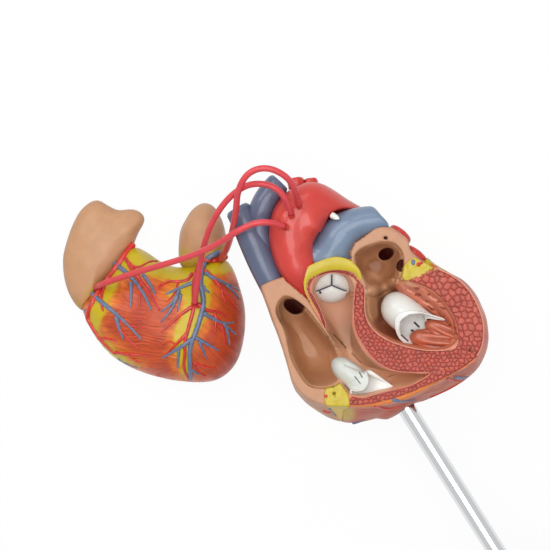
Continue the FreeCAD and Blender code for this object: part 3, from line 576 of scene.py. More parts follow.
rims = {name: smooth_line(points, 200, closed=True) for name, points in CHAMBERS.items()}
trunk_bed, aorta_bed = np.array(TRUNK_BED, float), np.array(AORTA_BED, float)

# %% Colours of the paint
TAN = (192, 140, 108)
ATRIUM_BROWN = (206, 156, 118)
DEPTH_SHADE_BROWN = (190, 138, 98)
OUTFLOW_PINK = (214, 162, 132)
ENDOCARDIUM = (204, 122, 92)
SEPTUM_PINK = (212, 136, 110)
WALL_ORANGE = (212, 104, 60)
WALL_RED = (188, 72, 50)
SALMON = (178, 76, 58)
DEEP_RED = (128, 38, 32)
BORDER_PINK = (224, 148, 124)
YELLOW = (196, 174, 22)
VEIN = (96, 112, 142)
ARTERY = (200, 44, 36)
AORTA_RED = (206, 60, 50)
ARCH_PINK = (224, 150, 124)
WHITE = (222, 224, 218)
HOLE_SHADE = (66, 14, 14)
MOUTH_RING = (232, 190, 156)
CREASE_SHADE = (92, 58, 30)
SLOPE_TAN_PAINTED_LIGHT = (204, 152, 114)
OUTFLOW_BROWN = (190, 142, 110)
INLET_PAINTED_LIGHT = (226, 172, 136)
ATRIUM_SHADE = (170, 118, 84)
PASSAGE_PAINTED_LIGHT = (232, 184, 148)
RIDGE_HIGHLIGHT = (220, 174, 140)
PIN_HOLE_SHADE_BROWN = (70, 36, 24)
COBBLE_HIGHLIGHT = (192, 94, 74)
PIN_HOLE_SHADE_RED = (70, 20, 20)
RIM_ORANGE = (224, 132, 66)
LOW_PINK = (196, 112, 90)
LOW_ORANGE = (218, 124, 72)
SEEP_TAN = (200, 166, 88)
SEEP_YELLOW = (222, 190, 96)
AORTA_SHADE = (176, 32, 30)
CUSP_SHADE_DARK = (60, 66, 88)
LINING_PAINTED_LIGHT = (238, 238, 234)
SLOT_SHADE = (44, 38, 42)

# %% Hollows of the castings
# Each mouth of a vessel inside a chamber is a round hole in its wall: a middle, two half widths,
# how far it is turned, and how deep it goes.
VEIN_MOUTHS = [
    ((-51.0, 5.8), (7.6, 5.0), -20, 6.0), ((10.2, 39.8), (5.0, 4.4), 0, 6.0), ((18.6, 31.4),
    (1.5, 4.4), -8, 5.0)]
CREASES = [
    ((-26.5, -13.5), (-21.5, -18.2), 0.2), ((-21.5, -18.2), (-17.5, -22.2), 0.45), ((-12.8, -25.6),
    (-7.0, -31.0), 0.3)]
NOTCHES = [
    ((21.0, 13.5), (27.5, 15.5), 1.0), ((32.0, 11.5), (36.5, 9.0), 0.6), ((29.0, 13.8), (30.5, 12.0), 0.6)]


UNDERSIDE = 20       # below this the outside of the castings starts


def dents(points, plan, colour):
    """Pushes the vein mouths, creases and notches into a casting and darkens them."""
    below = (points[:, 2] < CUT - 2) & (points[:, 2] > UNDERSIDE)
    for middle, halves, turn, depth in VEIN_MOUTHS:
        a = np.radians(turn)
        across = (plan - middle) @ np.array([[np.cos(a), -np.sin(a)], [np.sin(a), np.cos(a)]])
        reach = np.sqrt(((across / halves) ** 2).sum(1))
        share = (1 - fade(reach, 0.86, 1.06)) * below
        points[:, 2] -= depth * share
        # The mouths are painted dark inside as painted shade in the holes, and a lighter ring is painted round
        # each.
        colour = mix(colour, HOLE_SHADE, share * 1.15)
        colour = mix(colour, MOUTH_RING, 0.5 * (1 - fade(abs(reach - 1.16), 0.02, 0.12)) * below)
    for first, last, width in CREASES + NOTCHES:
        line = np.linspace(first, last, 24)
        share = (1 - fade(distance_to(plan, line), 0.3 * width, width + 0.4)) * below * (points[:, 2] > 40)
        points[:, 2] -= 0.7 * share
        # The creases are painted dark as painted shade in the slits, and the notches are painted dark red.
        colour = mix(colour, CREASE_SHADE if (first, last, width) in CREASES else DEEP_RED, share)
    return colour


CASTING_SWELL = 0.2
lateral_rim = smooth_line([(16, 22), (26, 19.5), (36, 14.5), (44.5, 6.5), (51, -4), (53, -13)], 200)


def lean_walls(points, normals, plan):
    """Leans the chamber walls inwards below their rims: a wall point moves along its level normal
    by a reach that grows with its depth, and is largest in the left ventricle's outer wall."""
    depth = fade(CUT - points[:, 2], 0.5, 13)
    in_left = inside(plan, rims["left_ventricle"])
    reach = 1.2 + 2.0 * (1 - fade(distance_to(plan, lateral_rim), 3, 9)) * in_left
    walls = np.max([inside(plan, rim) * 1.0 for rim in rims.values()], axis=0)
    points[:, :2] += normals[:, :2] * (reach * depth * walls)[:, None]
    saddle = (1 - fade(distance_to(plan, np.linspace((-1, 14), (0, 0), 30)), 2, 9)) * in_left
    points[:, 2] += 10 * saddle * (1 - fade(points[:, 2], 48, 66))


def paint_casting(made, outside, rim_tint=TAN):
    """Colours a casting by where its vertices are: the cut face in its own tint, each chamber in
    its own brown, and the outside in its own colour."""
    points, normals = vertices_of(made)
    plan = points[:, :2].copy()
    lean_walls(points, normals, plan)
    points += normals * CASTING_SWELL
    passage = (1 - fade(np.linalg.norm(plan - (3, 19.5), axis=1), 7, 12)) * (1 - fade(points[:, 2], 64, 68))
    points += (relaxed(made, points, 60) - points) * passage[:, None]
    colour = plain(outside, len(points))
    hollow = np.zeros(len(points))
    for name in rims:
        share = (inside(plan, rims[name]) | (distance_to(plan, rims[name]) < 1.0)) * (points[:, 2] > 22.0)
        if name == "left_ventricle":
            # The left ventricle turns tan towards the passage from the left atrium. This is partly its own tan
            # and partly painted light on its shaded slope.
            tint = mix(plain(ENDOCARDIUM, len(plan)), SLOPE_TAN_PAINTED_LIGHT,
                       fade(-plan[:, 0] * 0.8 + plan[:, 1], -22, 4))
        elif name == "right_ventricle":
            tint = mix(plain(OUTFLOW_PINK, len(plan)), OUTFLOW_BROWN, fade(-plan[:, 1], -6, 14))
            # Low down, the right ventricle's shaded wall is painted lighter: painted light.
            tint = mix(tint, INLET_PAINTED_LIGHT, fade(-plan[:, 1], 18, 30))
        else:
            # The atria are painted darker deeper down: painted shade.
            tint = mix(plain(ATRIUM_BROWN, len(plan)), DEPTH_SHADE_BROWN,
                       0.5 * fade(CUT - points[:, 2], 14, 40))
            tint = mix(tint, ATRIUM_SHADE, 1 - fade(np.linalg.norm(plan - (3.4, 31), axis=1), 4, 9))
        # Round the passage from the left atrium to the left ventricle, every chamber is painted lighter:
        # painted light in its shade.
        tint = mix(tint, PASSAGE_PAINTED_LIGHT, 0.8 * (1 - fade(np.linalg.norm(plan - (-1.5, 20.5), axis=1), 4, 9)))
        colour = np.where(share[:, None] > 0, tint, colour)
        hollow = np.maximum(hollow, share)
    ridge = smooth_line([(-47, -1), (-39, -12.5), (-29.5, -26.5)], 60)
    crest = (1 - fade(distance_to(plan, ridge), 0.5, 4.5)) * hollow * (points[:, 2] < CUT - 8)
    points[:, 2] += 0.6 * crest
    # The raised ridge is also painted lighter: a painted highlight.
    colour = mix(colour, RIDGE_HIGHLIGHT, 0.25 * crest)
    top = fade(points[:, 2], CUT - 1.6, CUT - 0.5) * fade(normals[:, 2], 0.1, 0.7)
    colour = mix(colour, rim_tint, top)
    colour = dents(points, plan, colour)
    high = fade(points[:, 2], CUT - 7, CUT - 2)
    points[:, 2] -= 5.5 * high * depth_inside(plan, trunk_bed, 1.2)
    points[:, 2] -= 5.5 * high * depth_inside(plan, aorta_bed, 1.0)
    # The pin holes are painted dark: painted shade in the holes.
    pin = np.linalg.norm(plan[:, None] - PIN_HOLES[None], axis=-1).min(1)
    colour = mix(colour, PIN_HOLE_SHADE_BROWN, (1 - fade(pin, 1.0, 1.5)) * (points[:, 2] > CUT - 12))
    points[:, :2] += normals[:, :2] * (0.25 * bumps(points, 16.0, 3))[:, None]
    move_vertices(made, points)
    set_paint(made.data, colour)
    return points, colour, hollow


def from_seep(points):
    """How far points are from the line where yellow runs from the right fat pad down the wall."""
    return distance_to(points[:, :2], np.linspace((-25.5, -53), (-17, -64), 30))


# %% Heart castings
ventricles = moulded("ventricles", "ventricle_casting", "heart", muscle_paint, voxel=0.83)
points, colour, hollow = paint_casting(ventricles, WALL_RED, SEPTUM_PINK)
LOW_RIM = [(66, -20), (57.6, -31.6), (45.5, -38.2), (32, -44.2), (18.5, -49.8), (1.5, -55), (-12.5, -57)]
low_rim = smooth_line(LOW_RIM, 200)
orange_rim = 1 - fade(distance_to(points[:, :2], low_rim), 2.5, 4.5)
orange_rim = orange_rim * fade(points[:, 2], CUT - 4, CUT - 2) * (1 - hollow)
outside = (1 - np.clip(hollow, 0, 1)) * (1 - fade(points[:, 2], CUT - 2.5, CUT - 1.0))
colour = mix(colour, RIM_ORANGE, orange_rim)
colour = mix(colour, WALL_ORANGE, outside * fade(bumps(points, 30.0, 5), -0.5, 0.9))
low_front = outside * fade(-points[:, 1], 20, 34)
colour = mix(colour, LOW_PINK, 0.6 * low_front)
colour = mix(colour, LOW_ORANGE, low_front * (1 - fade(CUT - points[:, 2], 3, 9)))
groove = distance_to(points[:, :2], np.linspace((-42, 24), (44, 34), 60))
groove_fat = outside * (1 - fade(groove, 5, 9)) * fade(points[:, 2], 14, 20) * (1 - fade(points[:, 2], 56, 64))
colour = mix(colour, YELLOW, groove_fat)
# The stand's collar sits in a shallow seat: inside its rim the wall is pressed in, and round it
# the wall rises to a lip, level with the collar's face, that runs out into the wall.
ROD_WAY = np.array([0.5234, -0.8377, 0.156])
COLLAR_HALF = 1.9    # from the collar's middle to its face
collar_middle = np.mean(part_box("stand_collar"), axis=0) / MM
out = (points - collar_middle) @ ROD_WAY
off_axis = np.linalg.norm(points - collar_middle - out[:, None] * ROD_WAY, axis=1)
seat_lip = fade(off_axis, 10.3, 11.3) * (1 - fade(off_axis, 12.5, 22)) * np.maximum(COLLAR_HALF - out, 0)
sunk = (1 - fade(off_axis, 10.0, 10.8)) * np.maximum(out + COLLAR_HALF, 0)
points += ((seat_lip - sunk) * outside * fade(out, -11, -8))[:, None] * ROD_WAY
move_vertices(ventricles, points)
seeping = outside * (1 - fade(from_seep(points), 2.5, 8))
colour = mix(colour, SEEP_TAN, seeping)
colour = mix(colour, YELLOW, outside * (1 - fade(np.linalg.norm(points[:, :2] - (31, 34), axis=1), 4, 8)))
set_paint(ventricles.data, colour)
keep_numbers(ventricles.data, "streak", outside * (1 - seeping))
way_down = points @ np.array([0.82, -0.57, 0.0])
grain = np.stack([0.1 * way_down, 0.8 * (points[:, 2] + 0.25 * way_down), 0.12 * points[:, 1]], 1)
keep_numbers(ventricles.data, "grain", grain)

right_atrium = moulded("right_atrium", "right_atrium_casting", "heart", casting_paint, voxel=0.57)
left_atrium = moulded("left_atrium", "left_atrium_casting", "heart", casting_paint, voxel=0.55)
for made in (right_atrium, left_atrium):
    points, colour, hollow = paint_casting(made, TAN)
    outer = 1 - np.clip(hollow, 0, 1)
    corner = outer * (1 - fade(np.linalg.norm(points[:, :2] - (31, 42), axis=1), 4, 13))
    points[:, :2] += np.array([-3.2, -2.4]) * corner[:, None]
    move_vertices(made, points)
    seeping = 0.95 * outer * (1 - fade(points[:, 2], CUT - 3, CUT - 0.8))
    colour = mix(colour, SEEP_YELLOW, seeping * (1 - fade(from_seep(points), 3, 9)))
    set_paint(made.data, colour)

# %% [markdown]
# ## The cut muscle
# Where the heart is cut, the model shows the muscle as cobbles: salmon cells with dark red grooves
# between them and a smooth pink edge. Each band is a strip between two rails, closed below. The
# height and the paint of a point come from its distance to the grooves and to the edges.

# %% Cobbles
def strip(pairs, along, across, low):
    """A strip between two rails. Both rails are one smooth line through pairs of points, so that
    they keep step; a point is rail + share * (other rail - rail). Two more columns close it below."""
    rails = smooth_line(np.array(pairs, float), along)
    share = np.linspace(0, 1, across)[None, :, None]
    top = rails[:, None, :2] * (1 - share) + rails[:, None, 2:] * share
    foot = np.stack([top[:, -1] * 0.97 + top[:, 0] * 0.03, top[:, 0] * 0.97 + top[:, -1] * 0.03], 1)
    plan = np.concatenate([top, foot], 1)
    heights = np.full(plan.shape[:2], CUT)
    heights[:, across:] = low
    return np.dstack([plan, heights]), across


def seeds_over(low, high, pitch, seed):
    """Seeds about a pitch apart: rows set like bricks, each seed moved a little at random."""
    rng = np.random.default_rng(seed)
    across, up = np.meshgrid(np.arange(low[0], high[0], pitch), np.arange(low[1], high[1], pitch * 0.87))
    across[1::2] += pitch / 2
    places = np.stack([across.ravel(), up.ravel()], 1)
    return places + rng.uniform(-0.3, 0.3, places.shape) * pitch


def cobbled(name, strips, seeds, edges, rise=0.5, groove=0.12):
    """A piece of strips with cobbles. edges are lines, each with the width and the colour of the
    smooth border beside it."""
    solids, colours = [], []
    rng = np.random.default_rng(11)
    tints = rng.uniform(0.93, 1.07, (len(seeds), 1))
    for pairs, along, across, low in strips:
        rings, top_columns = strip(pairs, along, across, low)
        flat = rings.reshape(-1, 3)
        plan = flat[:, :2] + 0.35 * np.stack([bumps(flat[:, :2], 5.0, 1), bumps(flat[:, :2], 5.0, 2)], 1)
        cell, edge = cells(plan, seeds)
        stone = fade(edge, groove * 0.5, groove + 0.3)
        height = 0.2 + rise * stone * (0.75 + 0.25 * fade(edge, 0.3, 1.4)) + 0.08 * bumps(flat[:, :2], 1.8, 4)
        colour = mix(plain(DEEP_RED, len(flat)), SALMON, stone)
        colour = colour * tints[cell]
        # The middles of the cells are painted lighter: a painted highlight on their domed tops.
        colour = mix(colour, COBBLE_HIGHLIGHT, 0.4 * fade(edge, 0.4, 1.6))
        for line, width, tint in edges:
            away = distance_to(flat[:, :2], line)
            border = 1 - fade(away, width - 0.2, width + 0.2)
            trench = (1 - fade(abs(away - width - 0.35), 0.15, 0.45)) * (1 - border)
            height = height * (1 - border) + 0.7 * border - 0.3 * trench
            height -= 0.8 * (1 - fade(away, 0, 0.7))
            colour = mix(mix(colour, DEEP_RED, 0.85 * trench), tint, border)
        # The pin holes are sunk a little and painted dark: painted shade in the holes.
        pin = np.linalg.norm(flat[:, None, :2] - PIN_HOLES[None], axis=-1).min(1)
        height -= 1.6 * (1 - fade(pin, 0.8, 1.3))
        colour = mix(colour, PIN_HOLE_SHADE_RED, 1 - fade(pin, 0.9, 1.4))
        upper = np.zeros(rings.shape[:2], bool)
        upper[:, :top_columns] = True
        flat[:, 2] = np.where(upper.ravel(), CUT + 0.15 + height, flat[:, 2])
        verts, faces = loft(flat.reshape(rings.shape))
        solids.append((verts, faces))
        colours.append(np.vstack([colour, colour[:1], colour[-1:]]))
    verts, faces = joined(*solids)
    made = piece(name, verts, faces, "heart", cut_paint)
    set_paint(made.data, np.vstack(colours))
    print(name, len(faces), "faces,", len(seeds), "cells")


# %% Left ventricle, septum and right ventricle
WALL_AND_SEPTUM = [
    (20, 21.6, 37.8, 30.2), (27.5, 19.2, 47.5, 26.0), (34.8, 15.9, 55.9, 19.8), (40.5, 11.2, 62.2, 11.9),
    (45.2, 5.8, 66.3, 3.2), (48.6, 0.2, 68.6, -5), (50.8, -5.2, 68.9, -12.8), (52.0, -11, 67.5, -20.3),
    (51.8, -16, 63.9, -27.2), (50.0, -20.2, 58.0, -31.8), (45.0, -21.5, 46, -34.2),
    (39, -21.9, 33.7, -36.7), (32.0, -21.7, 22.7, -36.7), (24.9, -20.6, 12, -35.6),
    (16, -18.4, 4.9, -32.7), (8.6, -15.6, -2.0, -27.3), (2.8, -12.2, -7.5, -20),
    (-1.7, -7.8, -11.9, -12.5), (-4.6, -3, -13.7, -6.5), (-5.9, 2.5, -14.1, 1), (-6.1, 9, -13.9, 8.5),
    (-6.0, 14.5, -13.4, 14.7), (-6.9, 18.6, -12.7, 19), (-8.6, 21.0, -12.0, 21.2)]
RIGHT_BAND = [
    (57.4, -31.2, 58.2, -32.2), (51.5, -32.7, 52.0, -35.6), (46, -34.2, 45.8, -39.0),
    (40, -35.8, 39.3, -42.2), (34.5, -37.3, 32.3, -45.0), (29, -41, 26.3, -47.7),
    (23.5, -43.9, 18.8, -50.6), (15, -46.3, 10.3, -53.4), (6.5, -48.5, 1.8, -55.6),
    (-1, -50.4, -6.3, -57.0), (-8, -52, -12.5, -57.2), (-14.5, -51, -18, -57.0)]
main, band = np.array(WALL_AND_SEPTUM, float), np.array(RIGHT_BAND, float)
coarse, fine = seeds_over((-16, -60), (70, 34), 4.3, 7), seeds_over((-18, -60), (70, 34), 3.0, 8)


def lateral(places):
    """Whether places lie in the outer wall of the left ventricle, where the cobbles are larger."""
    return (places[:, 0] > 12) & (places[:, 1] > -17.5)


wall_seeds = np.vstack([coarse[lateral(coarse)], fine[~lateral(fine)]])
lowest_edge = np.vstack([main[8:10, 2:], band[1:, 2:]])
wall_edges = [(smooth_line(main[:9, 2:], 300), 0.9, BORDER_PINK),
              (smooth_line(main[:9, :2], 300), 0.35, ENDOCARDIUM),
              (smooth_line(main[8:, :2], 400), 0.8, BORDER_PINK),
              (smooth_line(main[11:, 2:], 400), 0.9, (216, 134, 114)),
              (smooth_line(band[4:, :2], 300), 0.3, (226, 132, 112)),
              (smooth_line(lowest_edge, 300), 0.5, (230, 130, 76))]
cobbled("cut_muscle", [(WALL_AND_SEPTUM, 620, 60, 66.5), (RIGHT_BAND, 260, 26, 66.5)], wall_seeds, wall_edges)

# %% Arch round the pulmonary root
ARCH = [
    (-12.0, 20.3, -9.6, 21.8), (-14.3, 22.9, -12.6, 25.8), (-18.8, 25.2, -18.2, 28.1),
    (-24.2, 26.4, -24.0, 28.6), (-29.6, 26.1, -30.0, 27.9), (-33.6, 24.9, -34.6, 26.3),
    (-37.0, 23.2, -38.6, 24.4), (-39.3, 20.8, -41.9, 21.9), (-40.4, 17.8, -43.2, 18.2),
    (-40.2, 14.9, -43.1, 14.4), (-38.0, 11.2, -41.2, 10.8), (-35.8, 7.2, -39.0, 6.9),
    (-33.7, 2.6, -36.5, 2.4), (-32.2, -1.7, -34.9, -1.2), (-31.0, -5.7, -33.2, -5.9),
    (-31.1, -8.0, -31.9, -8.4)]
arch_rails = np.array(ARCH, float)
arch_edges = [(smooth_line(rail, 300), 0.35, ARCH_PINK) for rail in (arch_rails[:, :2], arch_rails[:, 2:])]
cobbled("cut_arch", [(ARCH, 330, 18, 66.0)], seeds_over((-46, -10), (-8, 32), 1.7, 9), arch_edges,
        rise=0.4, groove=0.1)

# %% [markdown]
# ## Fat
# Yellow fat lies round the pulmonary root and in the two grooves. The band at the root is a strip
# like those of the muscle, but its section is a low arch. The two pads are moulded copies of their
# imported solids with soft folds.

# %% Band at the pulmonary root
ROOT_BAND = [
    (-9.6, 21.8, -8.4, 23.4), (-12.6, 25.8, -9.8, 28.4), (-15.6, 27.4, -14.0, 33.2),
    (-20, 28.3, -20, 36.1), (-26, 28.4, -26.9, 36.5), (-31, 27.6, -33.4, 34.6), (-35, 26.1, -38.8, 32.4),
    (-38.6, 24.3, -42.8, 29.8), (-41.4, 22.3, -44.5, 26.6), (-42.9, 19.4, -45, 22),
    (-43.3, 16.4, -44.8, 17.5), (-42.8, 13.4, -43.8, 13.8), (-41.2, 10.6, -42, 10.7),
    (-38.9, 6.6, -39.4, 6.6), (-36.4, 2.2, -36.8, 2.2)]
rings, top_columns = strip(ROOT_BAND, 260, 26, 66.5)
flat = rings.reshape(-1, 3)
width = np.linalg.norm(rings[:, top_columns - 1, :2] - rings[:, 0, :2], axis=1)[:, None]
share = np.linspace(0, 1, top_columns)[None]
arched = np.minimum(width * 0.26, 1.3) * np.sin(np.pi * (0.1 + 0.84 * share)) ** 0.5
rings[:, :top_columns, 2] = CUT + 0.3 + arched + 1.2 * share * np.minimum(width / 6, 1)
verts, faces = loft(rings)
root_band = piece("root_band", verts, faces, "heart", fat_paint, replaces=["pulmonary_root_fat"])
set_paint(root_band.data, plain(YELLOW, len(verts)))

# %% Pads in the grooves
for name, node, hole_shade_dots in (("left_fat", "left_groove_fat", []),
                         ("right_fat", "right_groove_fat", [((-26.3, -45.6), 0.25), ((-25, -51.2), 0.25)])):
    pad = moulded(name, node, "heart", fat_paint, voxel=0.45, rounds=4)
    points, normals = vertices_of(pad)
    upper = fade(points[:, 2], CUT - 3, CUT - 0.5)
    points += normals * 0.25
    if name == "left_fat":
        points[:, 1] = np.minimum(points[:, 1], 37.4 - 0.55 * (points[:, 0] - 22.7))
    lumps = 0.35 + 0.3 * bumps(points[:, :2], 8.0, 31) + 0.08 * bumps(points[:, :2], 3.0, 32)
    points[:, 2] += upper * lumps
    colour = plain(YELLOW, len(points))
    colour = mix(colour, (190, 162, 34), 0.35 * fade(bumps(points[:, :2], 6.0, 33), 0, 0.8))
    colour = mix(colour, (206, 178, 70), 1 - fade(points[:, 2], CUT - 5, CUT - 1.5))
    # The dots are dark spots painted as the shade in two small pin holes.
    for place, radius in hole_shade_dots:
        away = np.linalg.norm(points[:, :2] - place, axis=1)
        colour = mix(colour, (96, 74, 24), 1 - fade(away, radius, radius + 0.4))
    move_vertices(pad, points)
    set_paint(pad.data, colour)

# %% Cut vessels in the fat
CUT_VESSELS = [
    ((24.0, 33.2), 2.0, VEIN), ((26.9, 32.2), 1.8, ARTERY), ((28.6, 33.0), 1.2, ARTERY),
    ((-31.4, -51.0), 1.2, ARTERY)]
solids, colours = [], []
for (x, y), radius, tint in CUT_VESSELS:
    path = np.array([(x + 0.1 * k, y, CUT - 1 + 0.2 * k) for k in range(12)])
    solids.append(loft(closed_rod(path, np.full(12, radius), 24, up=(1, 0, 0))))
    colours.append(plain(tint, len(solids[-1][0])))
verts, faces = joined(*solids)
cut_vessels = piece("cut_vessels", verts, faces, "heart", relief_paint)
set_paint(cut_vessels.data, np.vstack(colours))

# %% [markdown]
# ## The great vessels
# The aorta and the small vessels are moulded copies too. The trunk and the two great veins are open
# tubes, each swept along a line. The trunk and the aorta swell a little where they meet, and they
# rise over the cut face at their roots.

# %% Vessels
def dressed_vessel(name, node, tint, rounds=8, voxel=0.7, lift=None, swell=0.15, shade=None,
                   body="heart", ease=0):
    """A moulded, painted copy of a vessel. lift gives each point's shift, after which ease rounds
    even the surface out, and shade changes its paint."""
    made = moulded(name, node, body, vessel_paint, voxel=voxel, rounds=rounds)
    points, normals = vertices_of(made)
    colour = plain(tint, len(points))
    if shade:
        colour = shade(points, colour)
    points = points + normals * swell
    if lift:
        points = relaxed(made, points + lift(points, normals), ease)
    move_vertices(made, points)
    set_paint(made.data, colour)


def near(points, place, start, end):
    """1 close to a plan place, falling to 0 between two distances from it."""
    return 1 - fade(np.linalg.norm(points[:, :2] - place, axis=1), start, end)


def shift(points, x=0.0, y=0.0, z=0.0):
    """A shift of every point by amounts that may differ between the points."""
    return np.stack([value + 0 * points[:, 0] for value in (x, y, z)], 1)


def open_vessel(name, node, rows, tint, bend=None, shade=None):
    """An open tube: point = middle + cos(turn) * half width * side + sin(turn) * half height * top.
    Each row of the route gives a middle and the two half sizes. The lip draws in as the square of
    the way to the end, and the blind bore is three quarters as wide as the tube."""
    route = smooth_line(rows, 170)
    line, wide, tall = route[:, :3], route[:, 3, None, None], route[:, 4, None, None]
    _, side, top = frames_along(line)
    reach = length_along(line)
    left = reach[-1] - reach
    turn = np.linspace(0, 2 * np.pi, 96, endpoint=False)[None, :, None]
    around = wide * np.cos(turn) * side[:, None] + tall * np.sin(turn) * top[:, None]
    lip = (1 - 0.16 * (1 - np.minimum(left / 2.6, 1)) ** 2)[:, None, None]
    bore = (line[:, None] + 0.76 * around)[left < 14]
    rings = np.concatenate([line[:, None] + lip * around, bore[::-1]])
    if bend:
        rings = bend(rings.reshape(-1, 3)).reshape(rings.shape)
    verts, faces = loft(rings)
    made = piece(name, verts, faces, "heart", vessel_paint, replaces=[node])
    colour = plain(tint, len(verts))
    set_paint(made.data, shade(verts, colour) if shade else colour)
    print(name, len(faces), "faces")


def flank_shade(points, colour):
    """Where the trunk's flank shows in the left atrium's thin wall, it is painted like the atrium."""
    return mix(colour, ATRIUM_BROWN, 1 - fade(distance_to(points[:, :2], rims["left_atrium"]), 1.8, 2.8))


def trunk_bend(points):
    """The trunk leans over the aorta beside its root and is cut off slantwise at its far end."""
    x, y, z = points.T
    slant = (-4.8 * fade(y, 58, 70) + 3.4 * (1 - fade(y, 54, 64))) * fade(x, -10, 3) * fade(y, 44, 52)
    lean = -3.6 * (1 - fade(x, -42, -28)) * (1 - fade(y, 34, 48))
    rise = 3.5 * near(points, (-43, 39), 2, 9) * fade(z, 48, 60)
    return points + shift(points, slant + lean, 0, rise)


def aorta_form(points, normals):
    """The aorta's tip rises beside the yellow band, its inner side swells over the trunk, and its
    far shoulder is lower."""
    x, y, z = points.T
    rise = 2.5 * (1 - fade(y, 18, 36)) * fade(-x, 42, 47) * fade(z, 56, 66)
    shoulder = -6.6 * fade(x, -42, -14) * fade(y, 60, 80)
    swell = 3.6 * near(points, (-36, 57), 3, 12) - 1.2 * near(points, (-43, 38), 3, 8)
    swell = swell + 3.4 * near(points, (-38.5, 53.5), 3, 10)
    return shift(points, 0, shoulder, rise) + normals * swell[:, None]


def aorta_shade(points, colour):
    """Deeper red low down and near the tip."""
    deep = np.maximum(1 - fade(points[:, 1], 12, 34), 1 - fade(points[:, 2], 44, 62))
    return mix(colour, AORTA_SHADE, 0.7 * deep)


dressed_vessel("aorta_cast", "aorta", AORTA_RED, lift=aorta_form, shade=aorta_shade,
               rounds=14, ease=30)
TRUNK_ROWS = [
    (-27.4, 30.0, 57.0, 16.0, 14.0), (-27.6, 36.0, 56.8, 14.9, 14.0), (-25.8, 42.5, 57.6, 13.8, 14.2),
    (-22.4, 49.0, 59.3, 12.8, 13.8), (-18.2, 53.6, 60.6, 12.1, 13.0), (-13.4, 56.8, 62.0, 10.7, 12.2),
    (-6.8, 59.2, 62.8, 9.5, 11.0), (0.2, 60.6, 63.0, 8.4, 10.0), (5.4, 61.2, 62.8, 8.0, 9.6)]
CAVA_ROWS = [
    (-63.4, 16.0, 60.5, 8.3, 8.6), (-65.6, 21.0, 61.0, 8.6, 8.8), (-70.5, 31.5, 62.0, 9.0, 9.2),
    (-75.0, 42.0, 62.3, 9.2, 9.2), (-79.3, 52.0, 62.4, 9.0, 9.0), (-83.2, 60.5, 62.3, 8.5, 8.5),
    (-87.3, 67.8, 62.0, 8.1, 7.9)]
BRACHIO_ROWS = [
    (-70.5, 40.0, 61.5, 7.0, 7.0), (-73.2, 54.0, 62.5, 7.6, 7.8), (-72.3, 65.0, 64.0, 7.8, 8.0),
    (-67.3, 75.5, 65.0, 7.7, 7.9), (-59.8, 84.3, 65.0, 7.5, 7.6)]
open_vessel("trunk_cast", "pulmonary_trunk", TRUNK_ROWS, (112, 131, 156),
            bend=trunk_bend, shade=flank_shade)
open_vessel("cava_cast", "superior_vena_cava", CAVA_ROWS, (88, 97, 122))
open_vessel("brachiocephalic_cast", "left_brachiocephalic_vein", BRACHIO_ROWS, (90, 99, 125))
PULLED_IN = {
    "left_pulmonary_vein_upper": (-1.6, -2.8, 26),
    "left_pulmonary_vein_lower": (-5.6, -8.0, 14),
    "right_pulmonary_vein_upper": (3.5, 0, 26),
    "right_pulmonary_vein_lower": (3.5, 0, 26),
    "brachiocephalic_artery": (0, 0.4, 18),
    "left_carotid_artery": (-0.5, -0.8, 18),
    "left_subclavian_artery": (-1.5, -7.0, 26)}
WIDER = "left_pulmonary_vein_lower"


def moved_by(across, up):
    """A lift that shifts all of a vessel by the same amounts."""
    def lift(points, normals):
        """The shift of every point."""
        return shift(points, across, up)
    return lift


for name, (across, up, rounds) in PULLED_IN.items():
    dressed_vessel(name + "_cast", name, (200, 50, 42), rounds=rounds, voxel=0.6,
                   swell=2.2 if name == WIDER else 1.1, lift=moved_by(across, up))
dressed_vessel("inferior_cava_cast", "inferior_vena_cava", (98, 112, 146), voxel=0.6)
dressed_vessel("ligament_cast", "ligamentum_arteriosum", (232, 232, 228), rounds=10,
               voxel=0.4, swell=0.3, lift=moved_by(0, -2.6))
dressed_vessel("aorta_ports_cast", "graft_ports_aorta", AORTA_RED, rounds=20, voxel=0.4,
               swell=-0.7)
dressed_vessel("wall_ports_cast", "graft_ports_wall", (200, 46, 40), rounds=20, voxel=0.4,
               swell=-0.7, body="front_wall")

# %% [markdown]
# ## Valves that are shut
# The two semilunar valves are discs of three white pillows. On a grid of rings and spokes, the
# height falls to a groove along the three lines between the pillows and to the rim.

